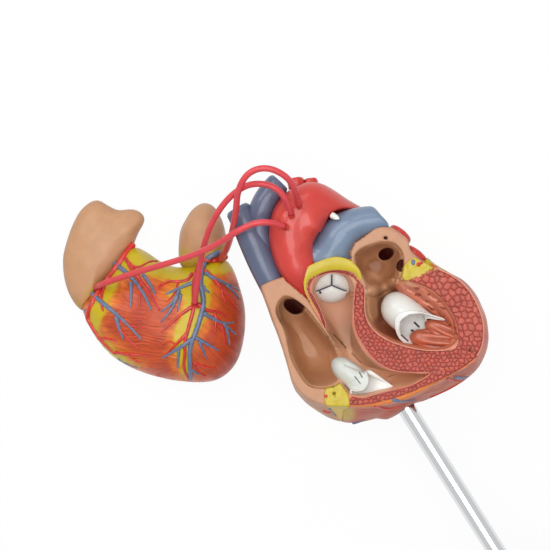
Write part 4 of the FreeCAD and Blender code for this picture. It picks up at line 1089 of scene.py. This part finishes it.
# %% Shut valves
def shut_valve(name, middle, way, radius, node, back, meet=0.0, dotted=False):
    """Height over the disc = bulge * (1 - e^(-distance to the nearest line / 1.5)) * (1 - share^4).
    The three lines meet a little above the middle, and the edge is drawn in where they end."""
    n = np.array(way, float) / np.linalg.norm(way)
    u = np.cross((0, 1, 0) if abs(n[0]) < 0.5 else (0, 0, 1), n)
    u = u / np.linalg.norm(u) * (1 if u[0] >= 0 else -1)
    v = np.cross(n, u)
    turn = np.linspace(0, 2 * np.pi, 300, endpoint=False)[None]
    lines = np.radians([90, 207, 333])
    apart = abs((turn[..., None] - lines + np.pi) % (2 * np.pi) - np.pi)
    edge = radius * (1 - 0.07 * np.exp(-(apart / 0.2) ** 2).sum(-1))
    share = np.linspace(0.02, 1, 50)[:, None]
    x, y = share * edge * np.cos(turn), share * edge * np.sin(turn)
    reach, angle = np.hypot(x, y - meet), np.arctan2(y - meet, x)
    off = abs((angle[..., None] - lines + np.pi) % (2 * np.pi) - np.pi)
    away = np.where(off < np.pi / 2, reach[..., None] * np.sin(off), reach[..., None]).min(-1)
    height = 3.0 * (1 - np.exp(-away / 1.5)) * (1 - share ** 4) + 0.3 * (1 - share ** 2)
    disc = np.array(middle) + x[..., None] * u + y[..., None] * v + height[..., None] * n
    verts, faces = loft(np.concatenate([disc, disc[-1:] - n * back]))
    # Dark lines are painted where the cusps meet: painted shade in the slits between them. A dotted valve also
    # gets one dark dot.
    slit_shade_and_dot = (1 - fade(away, 0.3, 0.62)) * (1 - fade(share, 0.86, 0.95))
    if dotted:
        slit_shade_and_dot = np.maximum(slit_shade_and_dot, 1 - fade(np.hypot(x + 0.62 * radius, y + 0.24 * radius), 0.7, 1.1))
    colour = mix(plain(WHITE, x.size), CUSP_SHADE_DARK, slit_shade_and_dot.ravel())
    made = piece(name, verts, faces, "heart", valve_paint, replaces=[node])
    set_paint(made.data, np.vstack([colour, plain(WHITE, len(verts) - x.size)]))


shut_valve("pulmonary_cusps", (-26.9, 17.2, 59.0), (0, -0.5, 0.86), 11.6, "pulmonary_valve", back=5.5,
           meet=2.4, dotted=True)
shut_valve("aortic_cusps", (-6.4, 12, 54), (0.75, -0.25, 0.6), 5.2, "aortic_valve", back=3.8)

# %% [markdown]
# ## Valves that are open
# The mitral and the tricuspid valve are soft white hoods, closed at their ring and cut off obliquely
# at their mouth, which ends in pointed flaps. A hood is a surface of two parameters: one goes round,
# and the other goes from the ring to the mouth. Its inner side lies a leaflet's thickness inside.

# %% Hoods
def hood(name, node, rings, mouth, slots, thickness=0.9, folds=(), tint=WHITE):
    """point(round, s) is the cubic through three rings and the mouth: the rings are circles about
    an axis, and the mouth is a closed line of angle, x, y and z. The inner side is the point less
    thickness times the normal."""
    centres, radii = np.array([c for c, _ in rings], float), [r for _, r in rings]
    axis = unit(centres[-1] - centres[0])
    side = unit(np.cross(axis, (0, 0, 1.0)))
    top = np.cross(side, axis)
    top = top if top[2] > 0 else -top
    angle = np.radians([m[0] for m in mouth])
    outer_side = -side if np.dot(-side, (0.78, 0.63, 0)) >= 0 else side
    round_ways = np.cos(angle)[:, None] * outer_side + np.sin(angle)[:, None] * top
    columns = [c + r * round_ways for c, r in zip(centres, radii)] + [np.array([m[1:] for m in mouth], float)]
    lines = smooth_line(np.hstack(columns), 260, closed=True).reshape(260, 4, 3)
    stops = np.array([0, 0.16, 0.46, 1.0])
    s = np.linspace(0, 1, 90)
    weights = np.stack([np.prod([(s - stops[j]) / (stops[i] - stops[j]) for j in range(4) if j != i], 0)
                        for i in range(4)], 1)
    outer = np.einsum("si,nic->snc", weights, lines)
    along, around = np.gradient(outer, axis=0), np.roll(outer, -1, 1) - np.roll(outer, 1, 1)
    normal = unit(np.cross(along, around))
    middle = outer.mean(1, keepdims=True)
    normal *= np.sign((normal * (outer - middle)).sum(-1).mean())
    wave, plan = np.zeros(outer[..., 0].size), outer.reshape(-1, 3)[:, :2]
    for a, b, depth, width in folds:
        wave += depth * np.exp(-(distance_to(plan, np.linspace(a, b, 20)) / width) ** 2)
    outer = outer - normal * wave.reshape(outer.shape[:2])[..., None]
    inner = outer - normal * thickness
    verts, faces = loft(np.concatenate([outer, inner[::-1]]))
    colour = plain(tint, len(verts))
    # The inner side (marked by shade below) is painted whiter: painted light in its shaded hollow.
    shade = np.zeros(len(verts))
    shade[outer[..., 0].size:-2] = 1
    colour = mix(colour, LINING_PAINTED_LIGHT, shade * 0.9)
    # The slots are painted dark: painted shade in the gaps of the leaflets.
    for a, b, width in slots:
        away = distance_to(verts[:, :2], np.linspace(a, b, 20))
        painted_shade = 1 - fade(away, width * 0.5, width)
        colour = mix(colour, SLOT_SHADE, painted_shade * (shade if thickness < 1.0 else 1))
    made = piece(name, verts, faces, "heart", valve_paint, replaces=[node])
    set_paint(made.data, colour)
    print(name, len(faces), "faces")


MITRAL_RINGS = [((9.0, 11.0, 52), 3.0), ((11.4, 8.2, 54), 8.6), ((18.2, 1.4, 57.4), 11.6)]
MITRAL_MOUTH = [
    (-20, 34, -3, 59), (-6, 38.5, -3, 61.5), (8, 45, -3, 64), (26, 37, 0, 66.5), (50, 29.5, 2, 68),
    (78, 22.5, 2.6, 69), (103, 16.5, 1.2, 69), (125, 13.5, -1.5, 68), (146, 13, -6.5, 66.5),
    (168, 14.5, -12.5, 63.5), (190, 18.5, -17.6, 60), (210, 24, -20, 56.5), (236, 26.5, -17, 53.5),
    (262, 29.5, -14, 52.5), (284, 35, -12.5, 54), (302, 41, -11, 57), (322, 37.5, -7, 57.5)]
hood("mitral_hood", "mitral_valve", MITRAL_RINGS, MITRAL_MOUTH,
              slots=[((27, -5.5), (29.5, -8), 0.8), ((25, -10.5), (27, -11.3), 0.9),
                     ((17.5, -13), (22, -17), 0.6)])
TRICUSPID_RINGS = [((-25.5, -29.5, 56), 2.2), ((-23, -31.6, 57), 5.4), ((-17, -36.6, 59), 7.4)]
TRICUSPID_MOUTH = [
    (-8, 12.5, -46, 64), (10, 7, -41.5, 64), (26, 0.5, -37.2, 64), (42, -4.4, -34.8, 65),
    (58, -5.0, -36.3, 67.5), (80, -3.8, -40.3, 68.5), (102, -4.6, -44.4, 68.6), (124, -7.4, -47.6, 68.4),
    (146, -12.0, -47.8, 68.2), (164, -15.6, -47.8, 67.6), (182, -14.6, -51.0, 67.4),
    (204, -10, -53.2, 67.2), (228, -4, -53.8, 67), (254, 2, -53, 66.8), (278, 6, -51, 66.4),
    (302, 9.5, -48.4, 65.6), (330, 11.5, -47, 65)]
hood("tricuspid_hood", "tricuspid_valve", TRICUSPID_RINGS, TRICUSPID_MOUTH,
                 slots=[((-12.5, -39), (-9, -43.5), 0.45), ((-9.5, -36.6), (-7.8, -39.6), 0.45)],
                 thickness=1.0, tint=(206, 210, 204),
                 folds=[((-18, -31.5), (-7, -35.5), 0.7, 1.0), ((-15.5, -44), (-10, -40), 0.35, 0.8)])

# %% Papillary muscles
def papillary(name, node, line, radii, ridges, twist=0.5, tint=(186, 96, 68), painted_shade=(138, 62, 44)):
    """A muscle whose radius is wavy round it: radius * (1 + depth * cos(ridges * angle))."""
    path = smooth_line(line, 90)
    reach = np.linspace(0, 1, 90)[:, None]
    size = np.interp(reach, np.linspace(0, 1, len(radii)), radii)
    head = np.sqrt(np.clip(1 - (1 - np.clip(reach * 6, 0, 1)) ** 2, 0.02, 1))
    tail = np.sqrt(np.clip(1 - (1 - np.clip((1 - reach) * 9, 0, 1)) ** 2, 0.02, 1))
    angle = np.linspace(0, 2 * np.pi, 96, endpoint=False)[None]
    wavy = 1 + 0.13 * fade(reach, 0.12, 0.45) * (abs(np.cos(ridges * angle / 2 + twist * reach)) * 2 - 1)
    radius = size * head * tail * wavy
    _, side, top = frames_along(path)
    rings = path[:, None] + radius[..., None] * (np.cos(angle)[..., None] * side[:, None]
                                                + np.sin(angle)[..., None] * top[:, None])
    verts, faces = loft(rings)
    made = piece(name, verts, faces, "heart", papillary_paint, replaces=[node])
    # The valleys between the ridges are painted darker: painted shade.
    valley = 1 - fade(wavy, 0.88, 1.02)
    colour = mix(plain(tint, wavy.size), painted_shade, 0.8 * valley.ravel())
    set_paint(made.data, np.vstack([colour, colour[:1], colour[-1:]]))


papillary("posterior_papillary", "posterior_papillary_muscle",
          [(23.5, -13.5, 55), (30, -15.2, 56.5), (40, -16.6, 57.5), (51, -17.2, 57.5), (57, -18, 56)],
          (4.4, 6.4, 6.6, 6.6, 6.4), 9)
papillary("anterior_papillary", "anterior_papillary_muscle",
          [(33, -5, 57), (39, -8, 58.5), (46, -11.5, 58.5), (52, -14, 57.5), (58, -16, 56)],
          (3.2, 5.2, 6.2, 7.0, 7.2), 9, twist=-0.6)
papillary("right_papillary", "right_papillary_muscle",
          [(8, -43, 51), (16, -41.5, 48.5), (24, -40.5, 47), (30, -40, 46)], (2.4, 3.0, 3.2, 3.0), 5,
          tint=(212, 158, 122), painted_shade=(200, 144, 108))

# %% [markdown]
# The outer wall of the left ventricle slopes into the chamber in long fleshy folds. They are one
# sloped strip between a rail at the cut muscle and a rail beside the mitral valve.

# %% Folds of the left ventricle's wall
FOLD_RAILS = [
    (18.5, 26.0, 64, 14.2, 22.6, 57), (20.5, 21.8, 70.6, 14.0, 17.6, 59.5),
    (27.5, 19.4, 71.2, 18.6, 12.2, 61), (34.8, 16.2, 71.2, 27.0, 6.4, 60.5),
    (40.7, 11.5, 71.2, 34.2, 2.2, 60), (45.4, 6.1, 71.2, 40.0, -1.8, 59.5),
    (48.9, 0.4, 71.2, 44.4, -5.2, 58.5), (51.1, -5.1, 71.2, 47.0, -9.2, 57.5),
    (52.3, -11, 71.2, 48.4, -14, 56)]
rails = smooth_line(FOLD_RAILS, 300)
share = np.linspace(0, 1, 70)[None, :, None]
sheet = rails[:, None, :3] * (1 - share) + rails[:, None, 3:] * share
sheet[..., 2] += (sheet[..., 2] - sheet[:, :1, 2]) * 0.5 * share[..., 0] * (share[..., 0] - 1)
along = np.linspace(0, 1, 300)[:, None]
plan = sheet[..., :2].reshape(-1, 2)
sway = 0.5 * bumps(plan, 16.0, 71).reshape(300, 70)
ridge = np.sin(2 * np.pi * (1.9 * share[..., 0] - 0.7 * along + 0.3 * sway)) * fade(share[..., 0], 0.0, 0.25)
notch = fade(bumps(plan * (1, 1.6), 6.0, 72).reshape(300, 70), 0.35, 0.9) * fade(share[..., 0], 0.04, 0.2)
sheet[..., 2] += (0.7 * ridge - 0.9 * notch) * fade(along, 0.05, 0.25)
under = sheet[:, ::-1] + np.array([1.0, 0.8, -4.0])
verts, faces = loft(np.concatenate([sheet, under], 1))
folds = piece("ventricle_folds", verts, faces, "heart", papillary_paint)
# The troughs between the folds and the notches are painted darker: painted shade.
colour = mix(plain((200, 112, 84), ridge.size), (172, 90, 64), 0.7 * (1 - fade(ridge, -0.9, 0.1)).ravel())
colour = mix(colour, (128, 48, 34), 0.75 * (notch * fade(along, 0.1, 0.3)).ravel())
colour = mix(colour, (210, 156, 120), (1 - fade(along + 0.25 * share[..., 0], 0.12, 0.42)).ravel())
both = np.concatenate([colour.reshape(300, 70, 3), colour.reshape(300, 70, 3)[:, ::-1]], 1).reshape(-1, 3)
set_paint(folds.data, np.vstack([both, colour[:1], colour[-1:]]))

# %% [markdown]
# ## The front wall
# The front wall is a dome of muscle with fat in its grooves and the coronary vessels in relief.
# Fields paint it: fat near a few guiding lines, and muscle from orange to red beyond. Its fibres
# fan out from the upper left, so the grain for their noise follows that fan.

# %% Dome
front_wall = moulded("front_wall_shell", "front_wall_casting", "front_wall", wall_paint,
                     voxel=0.62)
points, normals = vertices_of(front_wall)
plan = points[:, :2].copy()
# Each line of fat has its points, each with half the width of the fat there.
FAT_LINES = {
    "top": [(-163, 41, 6.5), (-157.7, 37.5, 7), (-146, 32.5, 8), (-133.3, 28.6, 7), (-120.7, 25, 8),
    (-108, 33, 9)],
    "right_groove": [(-162.8, 36, 6.5), (-169.5, 26, 6.5), (-174.6, 15, 6), (-180.5, 2, 6),
    (-183, -9.6, 4), (-179.6, -17.2, 2.5)],
    "middle_groove": [(-115.6, 29, 9), (-114.8, 17, 10), (-114.5, 5.5, 8.5), (-117.8, -4.6, 8),
    (-122.5, -15.5, 7.5), (-123.4, -28, 4.5), (-122, -40.8, 3)],
    "side_branch": [(-118, 18, 5), (-125, 15, 4.5), (-132, 12.5, 2)],
    "upper_right": [(-110, 31, 7), (-101, 31.5, 6), (-93, 31, 4.5)],
    "left_rim": [(-179.6, -17.2, 3), (-171.2, -25.6, 4), (-162.8, -31.5, 2.5), (-154, -35, 1)], }


def outside_of(points, line):
    """How far points lie outside a band: the least distance to its middle line less its half width there."""
    circles = smooth_line(line, 60)
    return np.concatenate([
        (np.linalg.norm(points[i:i + 8000, None] - circles[None, :, :2], axis=-1) - circles[:, 2]).min(1)
        for i in range(0, len(points), 8000)])


away = np.min([outside_of(plan, line) for line in FAT_LINES.values()], axis=0) + 1.0 * bumps(plan, 7.0, 41)
fat = 1 - fade(away, -2.4, 1.8)
x_middle = -118.0
slope = np.where(plan[:, 0] < x_middle, -0.12 - 0.040 * np.log1p(np.exp(plan[:, 1] / 4)), -0.9)
fan = plan[:, 1] - slope * (plan[:, 0] - x_middle) + 0.8 * bumps(plan, 16.0, 42)
streak = 1 - fat
colour = mix(plain((226, 120, 36), len(points)), (204, 82, 38), fade(away, 1, 9))
colour = mix(colour, (186, 68, 40), fade(away, 9, 30))
colour = mix(colour, (168, 52, 36), 0.4 * fade(bumps(plan, 18.0, 43), 0, 0.9) * streak)
colour = mix(colour, (216, 104, 52), 0.15 * fade(bumps(plan, 13.0, 47), 0.2, 1.0) * streak)
colour = mix(colour, (198, 174, 22), fat)
ridges = np.sin(2 * np.pi * fan / 1.9 + 1.5 * bumps(plan, 9.0, 44)) * fade(bumps(plan, 11.0, 45), -0.2, 0.6)
outer_side = fade(normals[:, 2], -0.1, 0.25)
relief_height = 0.3 * ridges * streak + 0.35 * fat * (1 + 0.5 * bumps(plan, 8.0, 46))
points += normals * (0.15 + outer_side * relief_height)[:, None]
colour = np.where((normals[:, 2] < -0.3)[:, None], np.asarray((206, 120, 92), float), colour)
move_vertices(front_wall, points)
set_paint(front_wall.data, colour)
keep_numbers(front_wall.data, "streak", streak * outer_side)
keep_numbers(front_wall.data, "grain", np.stack([0.07 * plan[:, 0], 0.95 * fan, 0.05 * points[:, 2]], 1))

# %% Auricles
lobes = []
for name, node, low_line in (("right_auricle_lobe", "right_auricle", [(-196, 0), (-188, -4), (-181, 12)]),
                             ("left_auricle_lobe", "left_auricle", [(-127, 36), (-112, 32), (-98, 38)])):
    lobe = moulded(name, node, "front_wall", casting_paint, voxel=0.6, rounds=8)
    points, normals = vertices_of(lobe)
    points += normals * (0.15 + 0.3 * bumps(points, 18.0, 51))[:, None]
    close = 1 - fade(distance_to(points[:, :2], smooth_line(low_line, 40)), 2, 12)
    colour = mix(plain((194, 146, 108), len(points)), (186, 158, 56), 0.8 * close)
    # The lobes are painted darker low down: painted shade.
    colour = mix(colour, (176, 124, 90), 0.6 * (1 - fade(points[:, 2], 4, 13)))
    move_vertices(lobe, points)
    set_paint(lobe.data, colour)
    lobes.append(lobe)

# %% [markdown]
# ## Coronary vessels in relief
# The vessels on the front wall are rods half sunk in it. Each is drawn as a line on the plan,
# dropped on the dome with a ray straight down, and thins towards its tip.

# %% Ground under the vessels
def ground_of(*made):
    """A search tree over the faces of some pieces, in millimetres."""
    verts, faces = [], []
    for thing in made:
        start = len(verts)
        verts += [tuple(v.co / MM) for v in thing.data.vertices]
        faces += [[start + i for i in p.vertices] for p in thing.data.polygons]
    return BVHTree.FromPolygons(verts, faces)


wall_ground = ground_of(front_wall, lobes[1])


def dropped(line, ground, count):
    """A smooth plan line dropped on the ground by a ray at each of its points."""
    plan = smooth_line(line, count)
    heights = [ground.ray_cast(Vector((x, y, 200)), Vector((0, 0, -1)))[0] for x, y in plan]
    filled = np.array([hit.z if hit else np.nan for hit in heights])
    good = ~np.isnan(filled)
    filled = np.interp(np.arange(count), np.arange(count)[good], filled[good])
    soft = np.convolve(np.pad(filled, 5, mode="edge"), np.ones(11) / 11, "valid")
    return np.column_stack([plan, soft])


def relief(name, lines, tint, replaces=(), fullness=1.0, rise=0.2):
    """A tree of rods on the front wall. Each line has its points, its first and its last radius,
    fullness makes them all thicker, and rise is how many radii their middles lie above the ground."""
    solids, colours = [], []
    for line, first, last in lines:
        length = np.linalg.norm(np.diff(np.array(line, float), axis=0), axis=1).sum()
        count = max(int(length / 0.7), 10)
        path = dropped(line, wall_ground, count)
        radii = np.linspace(first, last, count) * fullness
        path[:, 2] += rise * radii
        solids.append(loft(closed_rod(path, radii, 14)))
        verts = solids[-1][0]
        colours.append(np.asarray(tint, float) * (1 + 0.07 * bumps(verts, 5.0, 61))[:, None])
    verts, faces = joined(*solids)
    made = piece(name, verts, faces, "front_wall", relief_paint, replaces=replaces)
    set_paint(made.data, np.clip(np.vstack(colours), 0, 255))
    print(name, len(lines), "branches")


# %% Arteries
RIGHT_CORONARY = [
    ([(-157.7, 47), (-160.3, 43.2), (-164.7, 36), (-170.6, 27.6), (-176, 20.7), (-180.6, 13.5),
    (-183.5, 8), (-187, 1), (-188, -2.5), (-185, -9), (-180.6, -15.7), (-175.4, -21.7),
    (-168.5, -27.8)], 1.55, 0.7), ([(-176, 20.7), (-177.5, 14), (-178, 8), (-176, 1)], 1.0, 0.5),
    ([(-181.5, -17), (-173.5, -17), (-166.5, -18.5)], 0.8, 0.35), ([(-169.5, -26), (-159, -27),
    (-145.5, -28)], 0.8, 0.3), ([(-163, 37), (-157, 31), (-151, 31), (-146, 34), (-141, 34.5)], 0.9, 0.4),
    ([(-160.5, 34), (-154, 25), (-147.5, 16), (-141.5, 7), (-138, 1)], 1.1, 0.3), ([(-151.5, 21.5),
    (-151.5, 12), (-152, 1)], 0.6, 0.25), ([(-165, -4.5), (-157.5, -8), (-147, -9.5)], 0.6, 0.25),
    ([(-167.5, -7.5), (-160.5, -15.5), (-152.5, -23.5)], 0.6, 0.25), ([(-160, -27.5), (-156.5, -31),
    (-151, -32.5)], 0.5, 0.25)]
ANTERIOR_DESCENDING = [
    ([(-116, 7), (-116.5, 2.5), (-118.5, -5.5), (-120.5, -12.5), (-122, -19.5), (-122, -25.5),
    (-123, -34), (-122, -40.5), (-120, -45)], 0.8, 0.6), ([(-116.5, 5), (-125, -1), (-131.5, -7),
    (-138, -12.5)], 0.9, 0.25), ([(-120, -12.5), (-127, -19.5), (-135, -27.5)], 0.9, 0.3), ([(-128, -20),
    (-133, -18.5), (-137, -21.5)], 0.5, 0.25), ([(-117.5, 27), (-120, 22.5), (-127, 21), (-134, 20.5),
    (-139.5, 16.5)], 1.0, 0.3), ([(-127, 21), (-128.5, 14), (-135, 7)], 0.6, 0.25), ([(-134, 20),
    (-138.5, 18.5), (-139.5, 14.5)], 0.5, 0.25), ([(-114, 7), (-107, 2), (-100.5, 1),
    (-93, -3)], 1.0, 0.3), ([(-110, 28.5), (-103, 22.5), (-98.5, 16.5), (-93.5, 10.5),
    (-87.5, 2)], 1.0, 0.3), ([(-98.5, 16.5), (-97.5, 11.5), (-95.5, 6.5)], 0.6, 0.25), ([(-103, 2),
    (-102, -4.5), (-103, -14)], 0.7, 0.25), ([(-102.5, -1.5), (-98.5, -7.5), (-96.5, -21)], 0.7, 0.25),
    ([(-117, -32), (-110.5, -35), (-101.5, -36.5)], 0.7, 0.25), ([(-117, -32), (-114.5, -37.5),
    (-109, -42.5)], 0.6, 0.25)]
CIRCUMFLEX = [
    ([(-94.8, 38.6), (-98, 36.6), (-101.5, 35.3), (-105.5, 34.6)], 1.7, 1.3), ([(-105.5, 34.6),
    (-110, 35), (-113, 33.5), (-114.5, 30), (-116, 22), (-116, 12), (-116, 7)], 1.0, 1.1)]
relief("right_coronary_tree", RIGHT_CORONARY, ARTERY, ["right_coronary_artery"], fullness=1.6)
relief("descending_tree", ANTERIOR_DESCENDING, ARTERY, ["anterior_descending_artery"],
       fullness=1.6)
relief("circumflex_tree", CIRCUMFLEX, ARTERY, ["circumflex_artery"], fullness=1.4, rise=1.3)

# %% Veins
GREAT_VEIN = [
    ([(-99.5, 40.8), (-104.6, 38.2), (-109, 34.6), (-110.8, 29.5), (-112, 23), (-111, 15.5), (-110, 5.5),
    (-112, -3), (-114.5, -11), (-118, -20.5), (-119, -30.5), (-119, -45)], 1.15, 0.9), ([(-112.5, 22),
    (-119, 19.5), (-127, 16), (-135, 12.5)], 1.0, 0.4), ([(-125.5, 16), (-130, 7.5),
    (-138, 1)], 0.8, 0.3), ([(-126.5, 12), (-130.5, 3.5), (-138, -6)], 0.7, 0.3), ([(-124.5, 13.5),
    (-126, 5.5), (-127, 1)], 0.6, 0.3), ([(-109.5, 27), (-101.5, 22), (-93, 18.5),
    (-86.5, 14.5)], 1.0, 0.3), ([(-95.5, 19), (-91, 14.5), (-86.5, 9)], 0.7, 0.3), ([(-110.5, 18.5),
    (-108.5, 15.5), (-105.5, 13.5)], 0.8, 0.4), ([(-111, 1), (-103.5, -3.5), (-96, -6.5),
    (-89.5, -6)], 1.0, 0.3), ([(-97.5, -6.5), (-93, -10.5), (-88.5, -14.5)], 0.7, 0.3), ([(-96, -7),
    (-94, -14), (-93, -22)], 0.7, 0.3), ([(-115.5, -15.5), (-108.5, -19.5), (-99.5, -25)], 0.9, 0.3),
    ([(-113, -18), (-110.5, -23.5), (-108, -30)], 0.7, 0.3), ([(-116.5, -16), (-122.5, -20.5),
    (-129, -24.5), (-137.5, -29.5)], 1.0, 0.4), ([(-126, -23.5), (-126.5, -29.5),
    (-127.5, -37)], 0.7, 0.35), ([(-118.5, -37), (-116, -39), (-112.5, -41)], 0.6, 0.35)]
UPPER_VEIN = [
    ([(-171.5, 33.5), (-161, 26.5), (-151.5, 16.5), (-143.5, 1.5)], 1.2, 0.4), ([(-158, 21), (-157.5, 12),
    (-158, 3.5)], 0.9, 0.4), ([(-150.5, 26), (-145.5, 20), (-141.5, 12)], 0.9, 0.4)]
LOWER_VEIN = [
    ([(-185.5, 13), (-176.5, 6.5), (-168, 0), (-159.5, -7.5), (-150, -17.5)], 1.2, 0.4), ([(-167.5, -1.5),
    (-165.5, -9.5), (-162.5, -17.5)], 1.0, 0.4)]
RIM_VEINS = [
    ([(-190.5, 2.5), (-188.5, -3.5)], 0.7, 0.4), ([(-168, -30.5), (-161, -34.5), (-154, -37)], 0.8, 0.4)]
relief("great_vein_tree", GREAT_VEIN, VEIN, ["great_cardiac_vein"], fullness=1.6, rise=0.45)
relief("upper_vein_tree", UPPER_VEIN, VEIN, ["right_ventricle_vein_upper"], fullness=1.55)
relief("lower_vein_tree", LOWER_VEIN, VEIN, ["right_ventricle_vein_lower"], fullness=1.55)
relief("rim_veins", RIM_VEINS, (104, 120, 146))

# %% Branches on the heart's lower wall
def met_by_camera(line, ground, count):
    """Where the rays from the camera through points of the cut plane meet the ground."""
    plan = smooth_line(line, count)
    eye = Vector(CAMERA_PLACE)
    hits = [ground.ray_cast(eye, (Vector((x, y, CUT)) - eye).normalized())[0] for x, y in plan]
    return np.array([tuple(hit) for hit in hits if hit])


BACK_BRANCHES = [
    ([(10.6, -53.2), (16.0, -54.2), (21.5, -54.0), (27, -52.5)], 1.3, 0.5, VEIN), ([(50.3, -39.1),
    (54.7, -39.6), (58.6, -38.8)], 1.3, 0.8, VEIN), ([(-16.5, -68.2), (-11.6, -67.6),
    (-6.0, -66.0)], 1.2, 0.4, VEIN), ([(-30.5, -56.4), (-27, -61), (-23.8, -64.4)], 0.7, 0.4, VEIN),
    ([(-0.6, -57.0), (5.0, -58.6), (11.6, -58.6), (17.1, -57.0)], 1.1, 0.4, ARTERY), ([(45.3, -39.8),
    (49.1, -41.3), (54.2, -41.3)], 1.0, 0.5, ARTERY), ([(-33.0, -60.0), (-29.6, -61.2),
    (-27, -61.0)], 1.0, 0.5, ARTERY)]
back_ground = ground_of(ventricles, right_atrium)
solids, colours = [], []
for line, first, last, tint in BACK_BRANCHES:
    path = met_by_camera(line, back_ground, 40)
    if len(path) > 8:
        path = smooth_line(path[::4], 40)
        solids.append(loft(closed_rod(path, np.linspace(first, last, 40), 12)))
        colours.append(plain(tint, len(solids[-1][0])))
verts, faces = joined(*solids)
back_branches = piece("back_branches", verts, faces, "heart", relief_paint)
set_paint(back_branches.data, np.vstack(colours))
print("back branches", len(solids))

# %% Vessels round the back
def pressed_in(points, normals):
    """A level shift of 2.4 towards the middle of the ventricles."""
    inwards = 2.4 * unit(np.array([5.0, -5.0]) - points[:, :2])
    return np.hstack([inwards, 0 * points[:, :1]])


for name, node, tint, slot in (("posterior_artery_cast", "posterior_coronary_artery", ARTERY, "aorta_red"),
                               ("middle_vein_cast", "middle_cardiac_vein", (104, 120, 150), "vein_blue")):
    dressed_vessel(name, node, tint, rounds=10, voxel=0.4, swell=0.1, lift=pressed_in)

# %% Parts that keep their packed form
PACKED_FINISHES = {"rod_socket": socket_grey, "locating_pins": steel, "stand_collar": rubber_black,
                   "stand_rod": chrome, "stand_base": base_black, "base_screw": steel, "foot_pad": rubber_black}
for node, material in PACKED_FINISHES.items():
    nodes[node].data.materials.clear()
    nodes[node].data.materials.append(material)

# %% [markdown]
# ## The stage
# A white table and soft light. The table glows white to the camera, but keeps the soft shadow
# under the heart, because only part of its white is a glow.

# %% Floor
GLOW_SHARE = 0.94
FLOOR = 3.0          # half the floor's width, in metres


def stage_white():
    """White that is part diffuse, part a glow that only the camera and mirrors see."""
    material, tree, shader = new_material("stage_white")
    shader.inputs["Base Color"].default_value = (0.9, 0.9, 0.9, 1)
    shader.inputs["Roughness"].default_value = 0.8
    glow = add_node(tree, "ShaderNodeEmission", Strength=1.0)
    path = tree.nodes.new("ShaderNodeLightPath")
    seen = combined(tree, "MAXIMUM", path.outputs["Is Camera Ray"], path.outputs["Is Glossy Ray"])
    blend = tree.nodes.new("ShaderNodeMixShader")
    tree.links.new(combined(tree, "MULTIPLY", seen, GLOW_SHARE), blend.inputs["Fac"])
    tree.links.new(shader.outputs["BSDF"], blend.inputs[1])
    tree.links.new(glow.outputs["Emission"], blend.inputs[2])
    tree.links.new(blend.outputs["Shader"], tree.nodes["Material Output"].inputs["Surface"])
    return material


floor_mesh = bpy.data.meshes.new("floor")
corners = [(-FLOOR, -FLOOR, 0), (FLOOR, -FLOOR, 0), (FLOOR, FLOOR, 0), (-FLOOR, FLOOR, 0)]
floor_mesh.from_pydata(corners, [], [(0, 1, 2, 3)])
floor_mesh.materials.append(stage_white())
placed("floor", floor_mesh)

# %% Light
LIT_MIDDLE = (-0.06, 0.02, 0.03)     # metres, as the lamps' places below are


def soft_light(name, place, size, power):
    """A square lamp that faces the middle of the object."""
    lamp = bpy.data.lights.new(name, "AREA")
    lamp.size = size
    lamp.energy = power
    made = placed(name, lamp)
    made.location = Vector(place)
    towards = Vector(LIT_MIDDLE) - made.location
    made.rotation_mode = "QUATERNION"
    made.rotation_quaternion = towards.to_track_quat("-Z", "Y")


soft_light("overhead", (-0.06, 0.02, 1.5), 1.0, 12.0)
soft_light("key", (-0.9, 0.7, 1.1), 0.7, 6.0)
soft_light("fill", (0.9, -0.3, 1.2), 1.0, 2.5)
soft_light("top", (0.0, 0.9, 0.8), 0.5, 1.5)

world = bpy.data.worlds.new("studio")
world.use_nodes = True
background = world.node_tree.nodes["Background"]
background.inputs["Color"].default_value = (1.0, 1.0, 1.0, 1)
sky = world.node_tree
sky_path = sky.nodes.new("ShaderNodeLightPath")
sky_strength = sky.nodes.new("ShaderNodeMapRange")
sky_strength.inputs["To Min"].default_value, sky_strength.inputs["To Max"].default_value = 0.34, 0.75
sky.links.new(sky_path.outputs["Is Glossy Ray"], sky_strength.inputs["Value"])
sky.links.new(sky_strength.outputs["Result"], background.inputs["Strength"])
bpy.context.scene.world = world
bpy.context.scene.view_settings.view_transform = "Standard"
